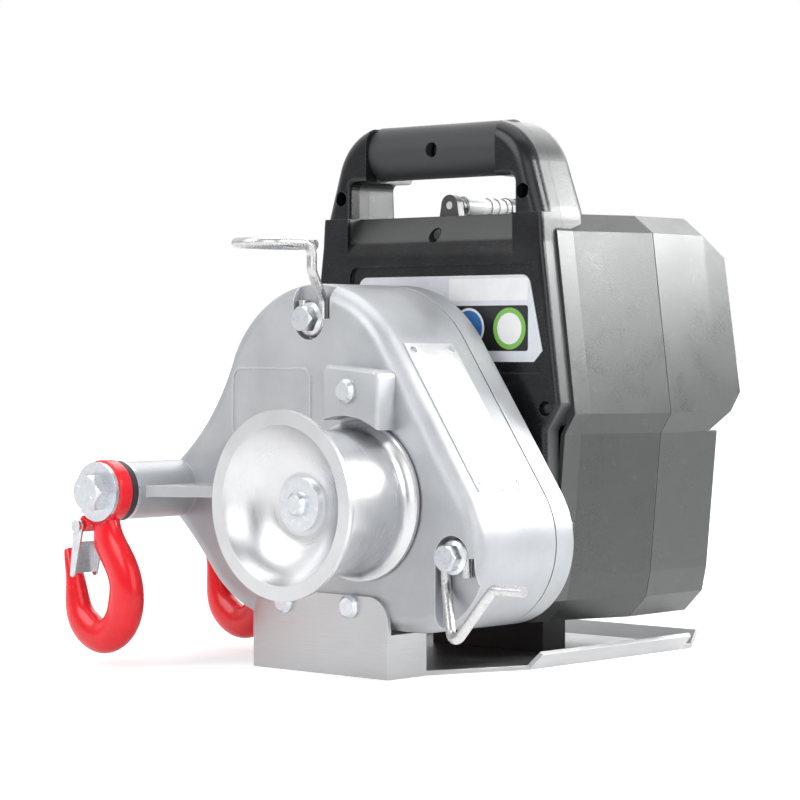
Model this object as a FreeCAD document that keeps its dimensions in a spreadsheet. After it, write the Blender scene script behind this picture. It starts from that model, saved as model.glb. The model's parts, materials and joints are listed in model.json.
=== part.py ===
import FreeCAD, Part
import math
import os
import Sketcher
from FreeCAD import Placement, Rotation, Vector

# Battery capstan winch, in millimetres, +Z up, seen from the front along +Y.
# The origin lies on the floor, below the drum axis, in the plane of the gearbox face.

doc = FreeCAD.newDocument("CapstanWinch")
sheet = doc.addObject("Spreadsheet::Sheet", "Sizes")

SIZES = (
    # Fits and cuts
    ("fit_clearance", 0.05),
    ("running_gap", 0.5),
    ("axial_gap", 0.15),
    ("overrun", 1.0),
    ("end_gap", 1.0),
    # Capstan drum
    ("drum_axis_height", 93.0),
    ("drum_radius", 38.0),
    ("drum_root_radius", 42.5),
    ("drum_root_length", 11.0),
    ("drum_rim_radius", 49.0),
    ("drum_rim_thickness", 2.6),
    ("drum_flare_length", 15.0),
    ("drum_length", 60.3),
    ("drum_gap", 1.0),
    ("drum_dish_radius", 41.4),
    ("drum_dish_floor_radius", 16.5),
    ("drum_dish_depth", 16.7),
    ("drum_washer_radius", 14.0),
    ("drum_washer_thickness", 2.5),
    ("drum_screw_radius", 4.0),
    ("drum_screw_length", 22.0),
    ("button_head_radius", 6.5),
    ("button_head_height", 3.6),
    ("shaft_radius", 10.0),
    ("key_width", 6.0),
    ("key_length", 24.0),
    # Gearbox castings
    ("face_thickness", 8.0),
    ("wall", 6.0),
    ("front_depth", 62.0),
    ("gasket_thickness", 1.0),
    ("gasket_inset", 0.8),
    ("rear_depth", 15.0),
    ("rear_wall", 5.0),
    ("face_round", 9.0),
    ("rim_round", 1.5),
    ("dome_x", -38.0),
    ("dome_height", 140.0),
    ("dome_radius", 68.0),
    ("toe_x", 36.0),
    ("toe_height", 71.0),
    ("toe_radius", 46.0),
    ("heel_x", -63.0),
    ("heel_height", 95.0),
    ("heel_radius", 70.0),
    ("body_heel_x", -40.0),
    ("neck_depth", 30.0),
    ("neck_end_radius", 15.4),
    ("neck_upper_radius", 130.0),
    ("neck_lower_radius", 220.0),
    ("bar_x", -140.0),
    ("bar_height", 95.0),
    ("bar_radius", 15.8),
    ("bar_front", 42.0),
    ("bar_rear", 44.0),
    ("rib_thickness", 6.0),
    ("rib_end_x", -62.0),
    ("badge_x", -66.0),
    ("badge_height", 143.0),
    ("badge_width", 60.0),
    ("badge_tall", 40.0),
    ("badge_corner", 7.0),
    ("badge_line", 1.2),
    ("badge_relief", 0.6),
    ("case_screw_radius", 3.0),
    ("case_screw_length", 22.0),
    ("case_boss_radius", 7.0),
    ("rating_plate_length", 92.0),
    ("rating_plate_width", 39.0),
    ("rating_plate_thickness", 0.8),
    ("rating_plate_front", 11.0),
    ("rivet_radius", 2.0),
    ("rivet_height", 0.7),
    ("rivet_inset", 4.5),
    # Gear train
    ("motor_x", -29.0),
    ("motor_height", 138.0),
    ("first_module", 1.25),
    ("second_module", 1.75),
    ("gear_width", 10.0),
    ("output_gear_width", 16.0),
    ("output_gear_front", 24.0),
    ("motor_pinion_front", 44.0),
    ("gear_rim", 6.0),
    ("gear_web", 5.0),
    ("gear_room", 2.0),
    ("gear_hub_radius", 14.0),
    ("layshaft_radius", 6.0),
    ("seal_radius", 17.5),
    ("seal_width", 6.0),
    ("drum_bearing_radius", 21.0),
    ("drum_bearing_width", 12.0),
    ("lay_bearing_radius", 14.0),
    ("lay_bearing_width", 8.0),
    ("bearing_race", 3.0),
    ("boss_wall", 5.0),
    # Rope stripper
    ("stripper_left", -15.0),
    ("stripper_right", 24.5),
    ("stripper_top", 165.0),
    ("stripper_thickness", 14.0),
    ("stripper_bore_radius", 45.0),
    ("stripper_drop", 3.5),
    ("stripper_round", 4.0),
    ("stripper_edge_round", 2.0),
    ("stripper_screw_inset", 18.0),
    ("stripper_screw_drop", 14.0),
    ("stripper_screw_radius", 3.0),
    ("stripper_screw_length", 20.0),
    # Rope guides
    ("guide_wire_radius", 2.7),
    ("guide_bend_radius", 7.0),
    ("guide_bolt_radius", 4.0),
    ("guide_bolt_length", 18.0),
    ("guide_head_width", 13.0),
    ("guide_head_height", 6.0),
    ("guide_flange_radius", 9.0),
    ("guide_flange_thickness", 1.6),
    ("guide_recess_radius", 11.2),
    ("guide_recess_depth", 6.4),
    ("upper_bolt_x", -38.0),
    ("upper_bolt_height", 189.0),
    ("lower_bolt_x", 63.5),
    ("lower_bolt_height", 66.2),
    ("upper_stem_x", -28.0),
    ("upper_stem_reach", 8.0),
    ("upper_ring_height", 229.0),
    ("upper_ring_radius", 16.4),
    ("lower_vee_x", 72.0),
    ("lower_vee_reach", 9.0),
    ("lower_vee_height", 21.5),
    ("lower_arm_x", 103.0),
    ("lower_arm_reach", 14.0),
    ("lower_arm_height", 53.0),
    ("lower_tip_length", 20.0),
    # Hooks
    ("hook_eye_radius", 17.2),
    ("hook_eye_thickness", 10.0),
    ("hook_eye_round", 2.0),
    ("hook_reach", 89.0),
    ("hook_body_thickness", 14.0),
    ("hook_bushing_wall", 2.0),
    ("hook_bolt_radius", 6.35),
    ("hook_bolt_length", 52.0),
    ("hook_head_width", 19.0),
    ("hook_head_height", 8.2),
    ("hook_washer_radius", 16.2),
    ("hook_washer_thickness", 2.5),
    ("friction_washer_thickness", 4.0),
    ("inner_washer_radius", 16.4),
    ("inner_washer_thickness", 2.0),
    ("latch_pin_radius", 2.0),
    ("latch_pin_head_radius", 3.4),
    ("latch_pin_head_height", 2.0),
    ("latch_sheet", 1.2),
    ("latch_lug_width", 7.0),
    ("latch_lug_radius", 3.7),
    ("latch_end_radius", 1.8),
    ("latch_spring_wire", 0.4),
    ("latch_spring_radius", 3.0),
    # Base plate
    ("base_sheet", 2.5),
    ("base_front_left", -77.0),
    ("base_front_right", 21.8),
    ("base_front_height", 43.0),
    ("base_front_corner", 14.0),
    ("base_wing_length", 28.0),
    ("base_wing_height", 23.5),
    ("base_side_right", 45.5),
    ("base_side_start", 84.5),
    ("base_side_end", 223.0),
    ("base_rear", 233.0),
    ("base_lip", 8.5),
    ("base_lip_chamfer", 4.0),
    ("base_screw_left_x", -53.0),
    ("base_screw_right_x", -5.0),
    ("base_screw_height", 37.0),
    ("base_screw_radius", 3.0),
    ("base_screw_length", 9.0),
    ("support_half_width", 41.0),
    ("support_front", 138.0),
    ("support_depth", 20.0),
    # Front panel and handle
    ("panel_front", 86.0),
    ("panel_thickness", 12.0),
    ("panel_bottom", 27.0),
    ("panel_bottom_half", 60.0),
    ("panel_skirt_half", 84.0),
    ("panel_skirt_height", 50.0),
    ("panel_step_height", 129.0),
    ("panel_ridge_half", 93.0),
    ("panel_ridge_height", 143.0),
    ("panel_shoulder_half", 81.5),
    ("panel_shoulder_height", 231.0),
    ("panel_top_half", 64.0),
    ("handle_rise", 52.0),
    ("handle_foot_half", 80.5),
    ("handle_foot_round", 30.0),
    ("handle_foot_depth", 2.9),
    ("panel_top_round", 34.0),
    ("panel_edge_round", 4.0),
    ("brow_height", 228.0),
    ("brow_edge", 1.0),
    ("brow_round", 18.0),
    ("handle_gap_half", 61.0),
    ("handle_band", 31.5),
    ("handle_gap_round", 4.0),
    ("handle_gap_fillet", 3.0),
    ("handle_round", 8.5),
    ("handle_set_back", 1.0),
    ("handle_front_thickness", 17.0),
    ("handle_rear_thickness", 21.0),
    ("grip_radius", 15.2),
    ("grip_core_radius", 11.0),
    ("grip_half_length", 47.6),
    ("grip_root", 3.0),
    ("label_left", -82.0),
    ("label_right", 42.5),
    ("label_lower_right", 52.0),
    ("label_rise", 28.0),
    ("label_tall", 47.3),
    ("label_corner", 6.0),
    ("label_thickness", 0.6),
    ("label_recess", 2.0),
    ("label_margin", 6.0),
    ("panel_screw_radius", 2.0),
    ("panel_screw_length", 14.0),
    ("panel_head_radius", 3.8),
    ("panel_head_height", 2.6),
    ("panel_screw_well", 4.2),
    ("panel_screw_depth", 5.0),
    ("panel_screw_half", 84.0),
    ("panel_screw_height", 141.0),
    ("handle_screw_half", 67.0),
    ("handle_screw_rise", 11.5),
    ("handle_screw_web", 7.0),
    ("brow_screw_offset", 1.3),
    ("brow_screw_drop", 10.7),
    ("brow_screw_web", 3.0),
    ("panel_face_round", 3.5),
    ("shell_boss_radius", 9.5),
    # Middle shell and rear cover
    ("body_x", -29.0),
    ("shell_front_bend", 112.0),
    ("seam", 160.0),
    ("seam_gap", 0.6),
    ("cover_bend_depth", 48.0),
    ("cover_fall_depth", 69.5),
    ("cover_depth", 79.5),
    ("cover_low_bend_depth", 55.0),
    ("cover_low_depth", 65.0),
    ("cover_drop", 12.0),
    ("cover_notch_depth", 46.0),
    ("cover_notch_run", 21.5),
    ("cover_notch_rise", 20.0),
    ("cover_low_lift", 13.0),
    ("shell_wall", 3.0),
    ("shell_top", 247.0),
    ("shell_bottom", 24.0),
    ("shell_shoulder_height", 237.0),
    ("shell_ridge_height", 138.0),
    ("shell_step_height", 127.0),
    ("shell_skirt_height", 50.0),
    ("shell_chin_height", 36.0),
    ("seam_top_half", 87.0),
    ("seam_shoulder_half", 100.0),
    ("seam_ridge_half", 113.0),
    ("seam_step_half", 106.0),
    ("seam_skirt_half", 99.0),
    ("seam_chin_half", 96.0),
    ("seam_bottom_half", 84.0),
    ("front_narrowing", 17.5),
    ("rear_narrowing", 10.0),
    ("bulkhead_inset", 18.0),
    ("bulkhead_thickness", 4.0),
    ("hinge_out", 6.0),
    ("hinge_knuckle_radius", 5.0),
    ("hinge_knuckle_length", 14.0),
    ("hinge_pin_radius", 2.5),
    ("hinge_height", 140.0),
    ("hinge_gap", 0.4),
    # Cover latch
    ("latch_ear_radius", 6.0),
    ("latch_ear_foot", 7.5),
    ("latch_ear_thickness", 5.0),
    ("latch_ear_height", 6.5),
    ("latch_front_inset", 6.4),
    ("latch_rear_inset", 7.0),
    ("latch_rod_radius", 2.2),
    ("latch_sleeve_radius", 5.5),
    ("latch_groove_depth", 0.8),
    ("latch_nose_radius", 3.2),
    ("latch_nose_length", 12.0),
    ("latch_coil_wire", 0.55),
    ("latch_coil_radius", 3.7),
    ("latch_coil_pitch", 3.1),
    ("latch_travel", 6.0),
    ("keeper_thickness", 5.0),
    # Motor, battery and controls
    ("motor_boss_radius", 48.0),
    ("end_plate_radius", 46.0),
    ("end_plate_thickness", 6.0),
    ("stator_radius", 45.0),
    ("stator_bore_radius", 29.0),
    ("motor_rear_gap", 3.5),
    ("rotor_radius", 28.4),
    ("motor_shaft_radius", 5.0),
    ("motor_nose_radius", 3.75),
    ("motor_bearing_radius", 11.0),
    ("motor_bearing_width", 6.0),
    ("fan_radius", 34.0),
    ("fan_thickness", 6.0),
    ("fan_hub_radius", 9.0),
    ("fan_blade_width", 2.5),
    ("controller_width", 120.0),
    ("controller_gap", 6.0),
    ("controller_tall", 26.0),
    ("controller_front", 102.0),
    ("battery_width", 140.0),
    ("battery_tall", 130.0),
    ("battery_bottom", 62.0),
    ("battery_depth", 44.0),
    ("battery_round", 8.0),
    ("socket_width", 70.0),
    ("socket_tall", 30.0),
    ("socket_depth", 7.0),
    ("cradle_reach", 40.0),
    ("switch_height", 190.0),
    ("switch_tall", 30.0),
    ("switch_width", 20.0),
    ("switch_boss_depth", 16.0),
    ("switch_set_in", 8.0),
    ("rocker_tall", 22.0),
    ("rocker_width", 12.0),
    ("rocker_depth", 7.0),
    ("rocker_pivot_radius", 1.5),
    ("rocker_pin_length", 17.0),
    ("rocker_gap", 1.4),
)

for row, (name, value) in enumerate(SIZES, start=1):
    sheet.set("A%d" % row, name)
    sheet.set("B%d" % row, str(value))
    sheet.setAlias("B%d" % row, name)
doc.recompute()


class Length(float):
    """A number that remembers the spreadsheet expression it comes from."""

    def __new__(cls, value, text=None):
        length = float.__new__(cls, value)
        length.text = text or repr(float(value))
        return length

    def __add__(self, other):
        return Length(float(self) + float(other), "(%s + %s)" % (self.text, expression(other)))

    def __radd__(self, other):
        return Length(float(other) + float(self), "(%s + %s)" % (expression(other), self.text))

    def __sub__(self, other):
        return Length(float(self) - float(other), "(%s - %s)" % (self.text, expression(other)))

    def __rsub__(self, other):
        return Length(float(other) - float(self), "(%s - %s)" % (expression(other), self.text))

    def __mul__(self, other):
        return Length(float(self) * float(other), "(%s * %s)" % (self.text, expression(other)))

    __rmul__ = __mul__

    def __truediv__(self, other):
        return Length(float(self) / float(other), "(%s / %s)" % (self.text, expression(other)))

    def __neg__(self):
        return Length(-float(self), "(0 - %s)" % self.text)


def expression(number):
    """The spreadsheet expression of a length, or the plain number."""
    return getattr(number, "text", repr(float(number)))


class SheetSizes:
    """The driving dimensions, read from the spreadsheet by name."""

    def __getattr__(self, name):
        return Length(float(getattr(sheet, name)), "Sizes.%s" % name)


size = SheetSizes()
nodes = {}

# Distance below which two points count as one
TOUCHING = 1e-6

# Share of the pitch taken by a tooth at the pitch circle, and slope of its flanks
TOOTH_THICKNESS_SHARE = 0.40
TOOTH_SLOPE_SHARE = 0.36
# Tooth height above and below the pitch circle, as shares of the module
ADDENDUM_SHARE = 1.0
DEDENDUM_SHARE = 1.25
MOTOR_PINION_TEETH = 11
FIRST_GEAR_TEETH = 66
LAY_PINION_TEETH = 11
OUTPUT_GEAR_TEETH = 55


def keep(name, thing):
    """Name a sub-part and put it on the list of pieces to write."""
    thing.Label = name
    nodes[name] = thing
    return thing


def solid(name, shape):
    """A sub-part whose shape is worked out from the sheet."""
    thing = doc.addObject("Part::Feature", name)
    thing.Shape = shape
    return keep(name, thing)


def bind(thing, **lengths):
    for prop, length in lengths.items():
        thing.setExpression(prop, expression(length))


def place(thing, x, y, z):
    """Move a sub-part to a place that follows the sheet."""
    thing.setExpression(".Placement.Base.x", expression(x))
    thing.setExpression(".Placement.Base.y", expression(y))
    thing.setExpression(".Placement.Base.z", expression(z))
    return thing


def outline_sketch(body, role, points):
    """A closed polygon on one of the body's planes, every corner tied to the sheet."""
    sketch = body.newObject("Sketcher::SketchObject", body.Name + "Sketch")
    plane = next(feature for feature in body.Origin.OriginFeatures if feature.Role == role)
    sketch.AttachmentSupport = [(plane, "")]
    sketch.MapMode = "FlatFace"
    count = len(points)
    for index in range(count):
        start = Vector(points[index][0], points[index][1], 0)
        end = Vector(points[(index + 1) % count][0], points[(index + 1) % count][1], 0)
        sketch.addGeometry(Part.LineSegment(start, end), False)
    for index in range(count):
        sketch.addConstraint(Sketcher.Constraint("Coincident", index, 2, (index + 1) % count, 1))
        for kind, axis, number in (("DistanceX", -2, points[index][0]),
                                   ("DistanceY", -1, points[index][1])):
            if float(number) == 0.0:
                sketch.addConstraint(Sketcher.Constraint("PointOnObject", index, 1, axis))
                continue
            mark = sketch.addConstraint(Sketcher.Constraint(kind, -1, 1, index, 1, float(number)))
            sketch.setExpression("Constraints[%d]" % mark, expression(number))
    return sketch


def turned(name, points, x, z):
    """A body turned about an axis along Y, from (radius, y) corners."""
    body = doc.addObject("PartDesign::Body", name)
    sketch = outline_sketch(body, "XY_Plane", points)
    lathe = body.newObject("PartDesign::Revolution", name + "Turn")
    lathe.Profile = sketch
    lathe.ReferenceAxis = (sketch, ["V_Axis"])
    lathe.Angle = 360
    return place(body, x, 0, z)


def ring(name, inner, outer, front, length, x, z):
    """A washer, bearing or bush about an axis along Y."""
    return turned(name, ((inner, front), (outer, front), (outer, front + length),
                         (inner, front + length)), x, z)


def rod(name, radius, front, length, x, z):
    """A plain round bar along Y."""
    bar = doc.addObject("Part::Cylinder", name)
    bind(bar, Radius=radius, Height=length)
    bar.Placement = Placement(Vector(x, front, z), Rotation(Vector(1, 0, 0), -90))
    return place(bar, x, front, z)


def block(name, x, y, z, width, depth, tall):
    box = doc.addObject("Part::Box", name)
    bind(box, Length=width, Width=depth, Height=tall)
    return place(box, x, y, z)


def group(name, pieces):
    """Several alike pieces kept as one node of separate solids."""
    compound = doc.addObject("Part::Compound", name)
    compound.Links = pieces
    return keep(name, compound)


# Plain solids for shapes that are worked out

def cylinder(radius, length, x, y, z, axis=Vector(0, 1, 0)):
    return Part.makeCylinder(radius, length, Vector(x, y, z), axis)


def box(x0, x1, y0, y1, z0, z1):
    return Part.makeBox(x1 - x0, y1 - y0, z1 - z0, Vector(x0, y0, z0))


def hexagon(width, front, length, x, z):
    """A hexagon bar along Y, flat at top and bottom, front face at front."""
    corner = width / math.sqrt(3)
    angles = [math.pi / 3 * step for step in range(7)]
    points = [Vector(x + corner * math.cos(a), front, z + corner * math.sin(a)) for a in angles]
    return Part.Face(Part.makePolygon(points)).extrude(Vector(0, length, 0))


def arc(x, z, radius, start, end, y=0.0):
    """An arc in the front view, from one angle to the other, in radians."""
    middle = (start + end) / 2
    points = [Vector(x + radius * math.cos(a), y, z + radius * math.sin(a)) for a in (start, middle, end)]
    return Part.Arc(*points).toShape()


def line(start, end):
    return Part.LineSegment(start, end).toShape()


def tangent_angle(x1, z1, r1, x2, z2, r2, side):
    """Direction of the common outer tangent's normal, on the chosen side of the line of centres."""
    distance = math.hypot(x2 - x1, z2 - z1)
    bearing = math.atan2(z2 - z1, x2 - x1)
    return bearing + side * math.acos((r1 - r2) / distance)


def hollow_centre(x1, z1, r1, x2, z2, r2, radius, side):
    """Centre of a hollow arc that touches two circles from outside."""
    far1 = r1 + radius
    far2 = r2 + radius
    distance = math.hypot(x2 - x1, z2 - z1)
    bearing = math.atan2(z2 - z1, x2 - x1)
    turn = math.acos((far1 ** 2 + distance ** 2 - far2 ** 2) / (2 * far1 * distance))
    angle = bearing + side * turn
    return x1 + far1 * math.cos(angle), z1 + far1 * math.sin(angle)


def circle_hull(circles, y):
    """The taut band round some circles, given clockwise, as a face in the plane at y."""
    edges = []
    count = len(circles)
    leave = [tangent_angle(*circles[i], *circles[(i + 1) % count], 1) for i in range(count)]
    for index, (x, z, radius) in enumerate(circles):
        start = leave[index - 1]
        end = leave[index]
        while end > start:
            end -= 2 * math.pi
        edges.append(arc(x, z, radius, start, end, y))
        nx, nz, nr = circles[(index + 1) % count]
        edges.append(line(Vector(x + radius * math.cos(end), y, z + radius * math.sin(end)),
                          Vector(nx + nr * math.cos(end), y, nz + nr * math.sin(end))))
    return Part.Face(Part.Wire(Part.__sortEdges__(edges)))


def rounded_polygon(points, y):
    """A face in the front view whose corners (x, z, radius) are rounded."""
    edges = []
    count = len(points)
    marks = []
    for index in range(count):
        x, z, radius = points[index]
        here = Vector(x, y, z)
        before = Vector(points[index - 1][0], y, points[index - 1][1]) - here
        after = Vector(points[(index + 1) % count][0], y, points[(index + 1) % count][1]) - here
        before.normalize()
        after.normalize()
        half = before.getAngle(after) / 2
        if radius == 0:
            marks.append((here, None, here))
            continue
        cut = radius / math.tan(half)
        middle = before + after
        middle.normalize()
        top = here + middle * (radius / math.sin(half) - radius)
        marks.append((here + before * cut, top, here + after * cut))
    for index in range(count):
        start, top, end = marks[index]
        if top is not None:
            edges.append(Part.Arc(start, top, end).toShape())
        following = marks[(index + 1) % count][0]
        if end.distanceToPoint(following) > TOUCHING:
            edges.append(line(end, following))
    return Part.Face(Part.Wire(edges))


def mirrored_points(half, centre):
    """Both sides of an outline given as (half width, height, radius) from the bottom up on the right."""
    right = [(centre + w, z, r) for w, z, r in half]
    left = [(centre - w, z, r) for w, z, r in reversed(half)]
    return right + left


def bent_wire(points, radii, wire_radius):
    """A round wire along straight runs joined by tangent arcs."""
    edges = []
    last = points[0]
    for index in range(1, len(points) - 1):
        here = points[index]
        back = (points[index - 1] - here).normalize()
        ahead = (points[index + 1] - here).normalize()
        half = back.getAngle(ahead) / 2
        cut = radii[index - 1] / math.tan(half)
        middle = (back + ahead).normalize()
        top = here + middle * (radii[index - 1] / math.sin(half) - radii[index - 1])
        start = here + back * cut
        end = here + ahead * cut
        if last.distanceToPoint(start) > TOUCHING:
            edges.append(line(last, start))
        edges.append(Part.Arc(start, top, end).toShape())
        last = end
    edges.append(line(last, points[-1]))
    path = Part.Wire(edges)
    section = Part.Wire(Part.makeCircle(wire_radius, points[0], points[1] - points[0]))
    tube = path.makePipeShell([section], True, False)
    print("wire", round(path.Length, 1), "volume share",
          round(tube.Volume / (path.Length * math.pi * wire_radius ** 2), 4))
    return tube


def tangent_arc(start, tangent, end):
    """The arc that leaves start along tangent and reaches end."""
    chord = end - start
    along = Vector(chord).normalize()
    aside = tangent - along * tangent.dot(along)
    if aside.Length < TOUCHING:
        return line(start, end)
    bow = chord.Length / 2 * math.tan(tangent.getAngle(chord) / 2)
    return Part.Arc(start, (start + end) / 2 + aside.normalize() * bow, end).toShape()


def biarc(start, start_tangent, end, end_tangent):
    """Two arcs that join two points and follow the tangent at both."""
    chord = end - start
    both = start_tangent + end_tangent
    spread = 2 * (1 - start_tangent.dot(end_tangent))
    reach = (math.sqrt(chord.dot(both) ** 2 + spread * chord.dot(chord)) - chord.dot(both)) / spread
    joint = (start + end + (start_tangent - end_tangent) * reach) / 2
    first = tangent_arc(start, start_tangent, joint)
    return [first, tangent_arc(joint, first.tangentAt(first.LastParameter), end)]


def spring(wire_radius, coil_radius, turns, length, start, axis):
    """One unbroken coil of arcs with straight ends, along an axis."""
    lead = 2 * wire_radius
    steps = turns * 4
    climb = length / steps
    slope = math.atan2(climb, coil_radius * math.pi / 2)
    spots = []
    tangents = []
    for step in range(steps + 1):
        angle = step * math.pi / 2
        spots.append(Vector(coil_radius * math.cos(angle), coil_radius * math.sin(angle), climb * step))
        tangents.append(Vector(-math.sin(angle) * math.cos(slope), math.cos(angle) * math.cos(slope),
                               math.sin(slope)))
    edges = [line(spots[0] - tangents[0] * lead, spots[0])]
    for step in range(steps):
        edges += biarc(spots[step], tangents[step], spots[step + 1], tangents[step + 1])
    edges.append(line(spots[-1], spots[-1] + tangents[-1] * lead))
    path = Part.Wire(edges)
    section = Part.Wire(Part.makeCircle(wire_radius, spots[0] - tangents[0] * lead, tangents[0]))
    coil = path.makePipeShell([section], True, False)
    points = path.discretize(Number=COIL_CHECK_POINTS)
    spacing = path.Length / COIL_CHECK_POINTS
    apart = int(COIL_CHECK_WIRES * 2 * wire_radius / spacing)
    gap = min(points[i].distanceToPoint(points[j]) for i in range(len(points))
              for j in range(i + apart, len(points)))
    share = coil.Volume / (path.Length * math.pi * wire_radius ** 2)
    print("coil least gap %.2f volume share %.4f" % (gap - 2 * wire_radius, share))
    coil.Placement = Placement(Vector(*start), Rotation(Vector(0, 0, 1), axis))
    return coil


# Points along a coil for measuring its least gap, leaving out neighbours nearer than a few wires
COIL_CHECK_POINTS = 400
COIL_CHECK_WIRES = 3


# Main axes, worked out from the gear sizes

drum_x = 0.0
drum_z = size.drum_axis_height
motor_pinion_pitch = size.first_module * MOTOR_PINION_TEETH / 2
first_gear_pitch = size.first_module * FIRST_GEAR_TEETH / 2
lay_pinion_pitch = size.second_module * LAY_PINION_TEETH / 2
output_gear_pitch = size.second_module * OUTPUT_GEAR_TEETH / 2
lay_x, lay_z = hollow_centre(drum_x, drum_z, output_gear_pitch, size.motor_x, size.motor_height,
                             first_gear_pitch + motor_pinion_pitch - lay_pinion_pitch, lay_pinion_pitch, 1)


def gear_face(teeth, module, x, y, z, phase):
    """Outline of a spur gear, with one tooth pointing along phase."""
    pitch = module * teeth / 2
    tip = pitch + ADDENDUM_SHARE * module
    root = pitch - DEDENDUM_SHARE * module
    tooth = 2 * math.pi / teeth
    half = tooth * TOOTH_THICKNESS_SHARE / 2
    tip_half = half - math.atan(TOOTH_SLOPE_SHARE * (tip - pitch) / pitch)
    root_half = half + math.atan(TOOTH_SLOPE_SHARE * (pitch - root) / pitch)
    corners = []
    for index in range(teeth):
        middle = phase + tooth * index
        for radius, angle in ((root, -root_half), (tip, -tip_half), (tip, tip_half), (root, root_half)):
            corners.append(Vector(x + radius * math.cos(middle + angle), y,
                                  z + radius * math.sin(middle + angle)))
    return Part.Face(Part.makePolygon(corners + corners[:1]))


def gear(teeth, module, x, front, z, width, phase, bore):
    wheel = gear_face(teeth, module, x, front, z, phase).extrude(Vector(0, width, 0))
    return wheel.cut(cylinder(bore, width + 2 * size.overrun, x, front - size.overrun, z))


def webbed_gear(teeth, module, x, front, z, width, phase, bore):
    """A gear whose web between hub and rim is turned thinner on both sides."""
    wheel = gear(teeth, module, x, front, z, width, phase, bore)
    rim = module * (teeth / 2 - DEDENDUM_SHARE) - size.gear_rim
    step = (width - size.gear_web) / 2
    for start in (front - size.overrun, front + width - step):
        recess = cylinder(rim, step + size.overrun, x, start, z)
        recess = recess.cut(cylinder(size.gear_hub_radius, step + size.overrun, x, start, z))
        wheel = wheel.cut(recess)
    return wheel


# Motor layout, needed by the castings too

bulkhead_front = size.seam - size.bulkhead_inset
plate_end = size.panel_front + size.end_plate_thickness
fan_end = bulkhead_front - size.motor_rear_gap
stator_end = fan_end - size.fan_thickness - size.running_gap - size.end_plate_thickness
stator_length = stator_end - plate_end
bell_end = stator_end + size.end_plate_thickness
motor_bore = size.motor_shaft_radius + size.fit_clearance
pocket_radius = size.motor_bearing_radius + size.fit_clearance

# Gearbox castings

dome = (size.dome_x, size.dome_height, size.dome_radius)
toe = (size.toe_x, size.toe_height, size.toe_radius)
heel = (size.heel_x, size.heel_height, size.heel_radius)
body_heel = (size.body_heel_x, size.heel_height, size.heel_radius)
rear_start = size.front_depth + size.gasket_thickness
rear_end = rear_start + size.rear_depth
bearing_seat = rear_end - size.rear_wall
stripper_screw_x = size.stripper_left + size.stripper_screw_inset
stripper_screw_z = size.stripper_top - size.stripper_screw_drop


def shrink(circle, amount):
    return circle[0], circle[1], circle[2] - amount


def neck_outline(y):
    """Front outline of the casting: dome, sloping side, toe, heel and the neck that carries the hook bar."""
    neck = (size.bar_x, size.bar_height, size.neck_end_radius)
    right = tangent_angle(*dome, *toe, 1)
    under = tangent_angle(*toe, *heel, 1)
    ux, uz = hollow_centre(*dome, *neck, size.neck_upper_radius, -1)
    lx, lz = hollow_centre(*heel, *neck, size.neck_lower_radius, 1)
    dome_left = math.atan2(uz - dome[1], ux - dome[0])
    neck_top = math.atan2(uz - neck[1], ux - neck[0])
    neck_low = math.atan2(lz - neck[1], lx - neck[0]) + 2 * math.pi
    heel_left = math.atan2(lz - heel[1], lx - heel[0]) + 2 * math.pi
    under = under % (2 * math.pi)

    def spot(circle, angle):
        return Vector(circle[0] + circle[2] * math.cos(angle), y, circle[1] + circle[2] * math.sin(angle))

    edges = [
        arc(*dome, dome_left, right, y),
        line(spot(dome, right), spot(toe, right)),
        arc(*toe, right, under - 2 * math.pi, y),
        line(spot(toe, under), spot(heel, under)),
        arc(*heel, under, heel_left, y),
        arc(lx, lz, size.neck_lower_radius, heel_left - math.pi, neck_low - math.pi, y),
        arc(*neck, neck_low, neck_top, y),
        arc(ux, uz, size.neck_upper_radius, neck_top - math.pi, dome_left - math.pi, y),
    ]
    return Part.Face(Part.Wire(Part.__sortEdges__(edges)))


def body_outline(inset, y):
    return circle_hull([shrink(c, inset) for c in (dome, toe, body_heel)], y)


def case_screw_places():
    """Screw centres just inside the casting's edge, one near each turn of the outline."""
    inset = size.wall + size.case_boss_radius * CASE_BOSS_SHARE
    places = []
    for circle, angles in zip((dome, toe, body_heel), CASE_SCREW_ANGLES):
        for angle in angles:
            turn = math.radians(angle)
            reach = circle[2] - inset
            places.append((circle[0] + reach * math.cos(turn), circle[1] + reach * math.sin(turn)))
    return places


# Share of its radius by which a screw boss stands inside the wall
CASE_BOSS_SHARE = 0.35
# Directions of the casting screws on the dome, toe and heel, in degrees
CASE_SCREW_ANGLES = ((60, 122, 172), (12, 285), (225, 262))


def guide_recess(x, z, along_x, along_z):
    """Round pocket for a guide wire's eye, with a straight way out over the casting's edge."""
    pocket = cylinder(size.guide_recess_radius, size.guide_recess_depth + size.overrun, x, -size.overrun, z)
    reach = size.guide_recess_radius
    way = box(min(x - reach, x + along_x), max(x + reach, x + along_x), -size.overrun,
              size.guide_recess_depth, min(z, z + along_z), max(z, z + along_z))
    return pocket.fuse(way)


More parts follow.
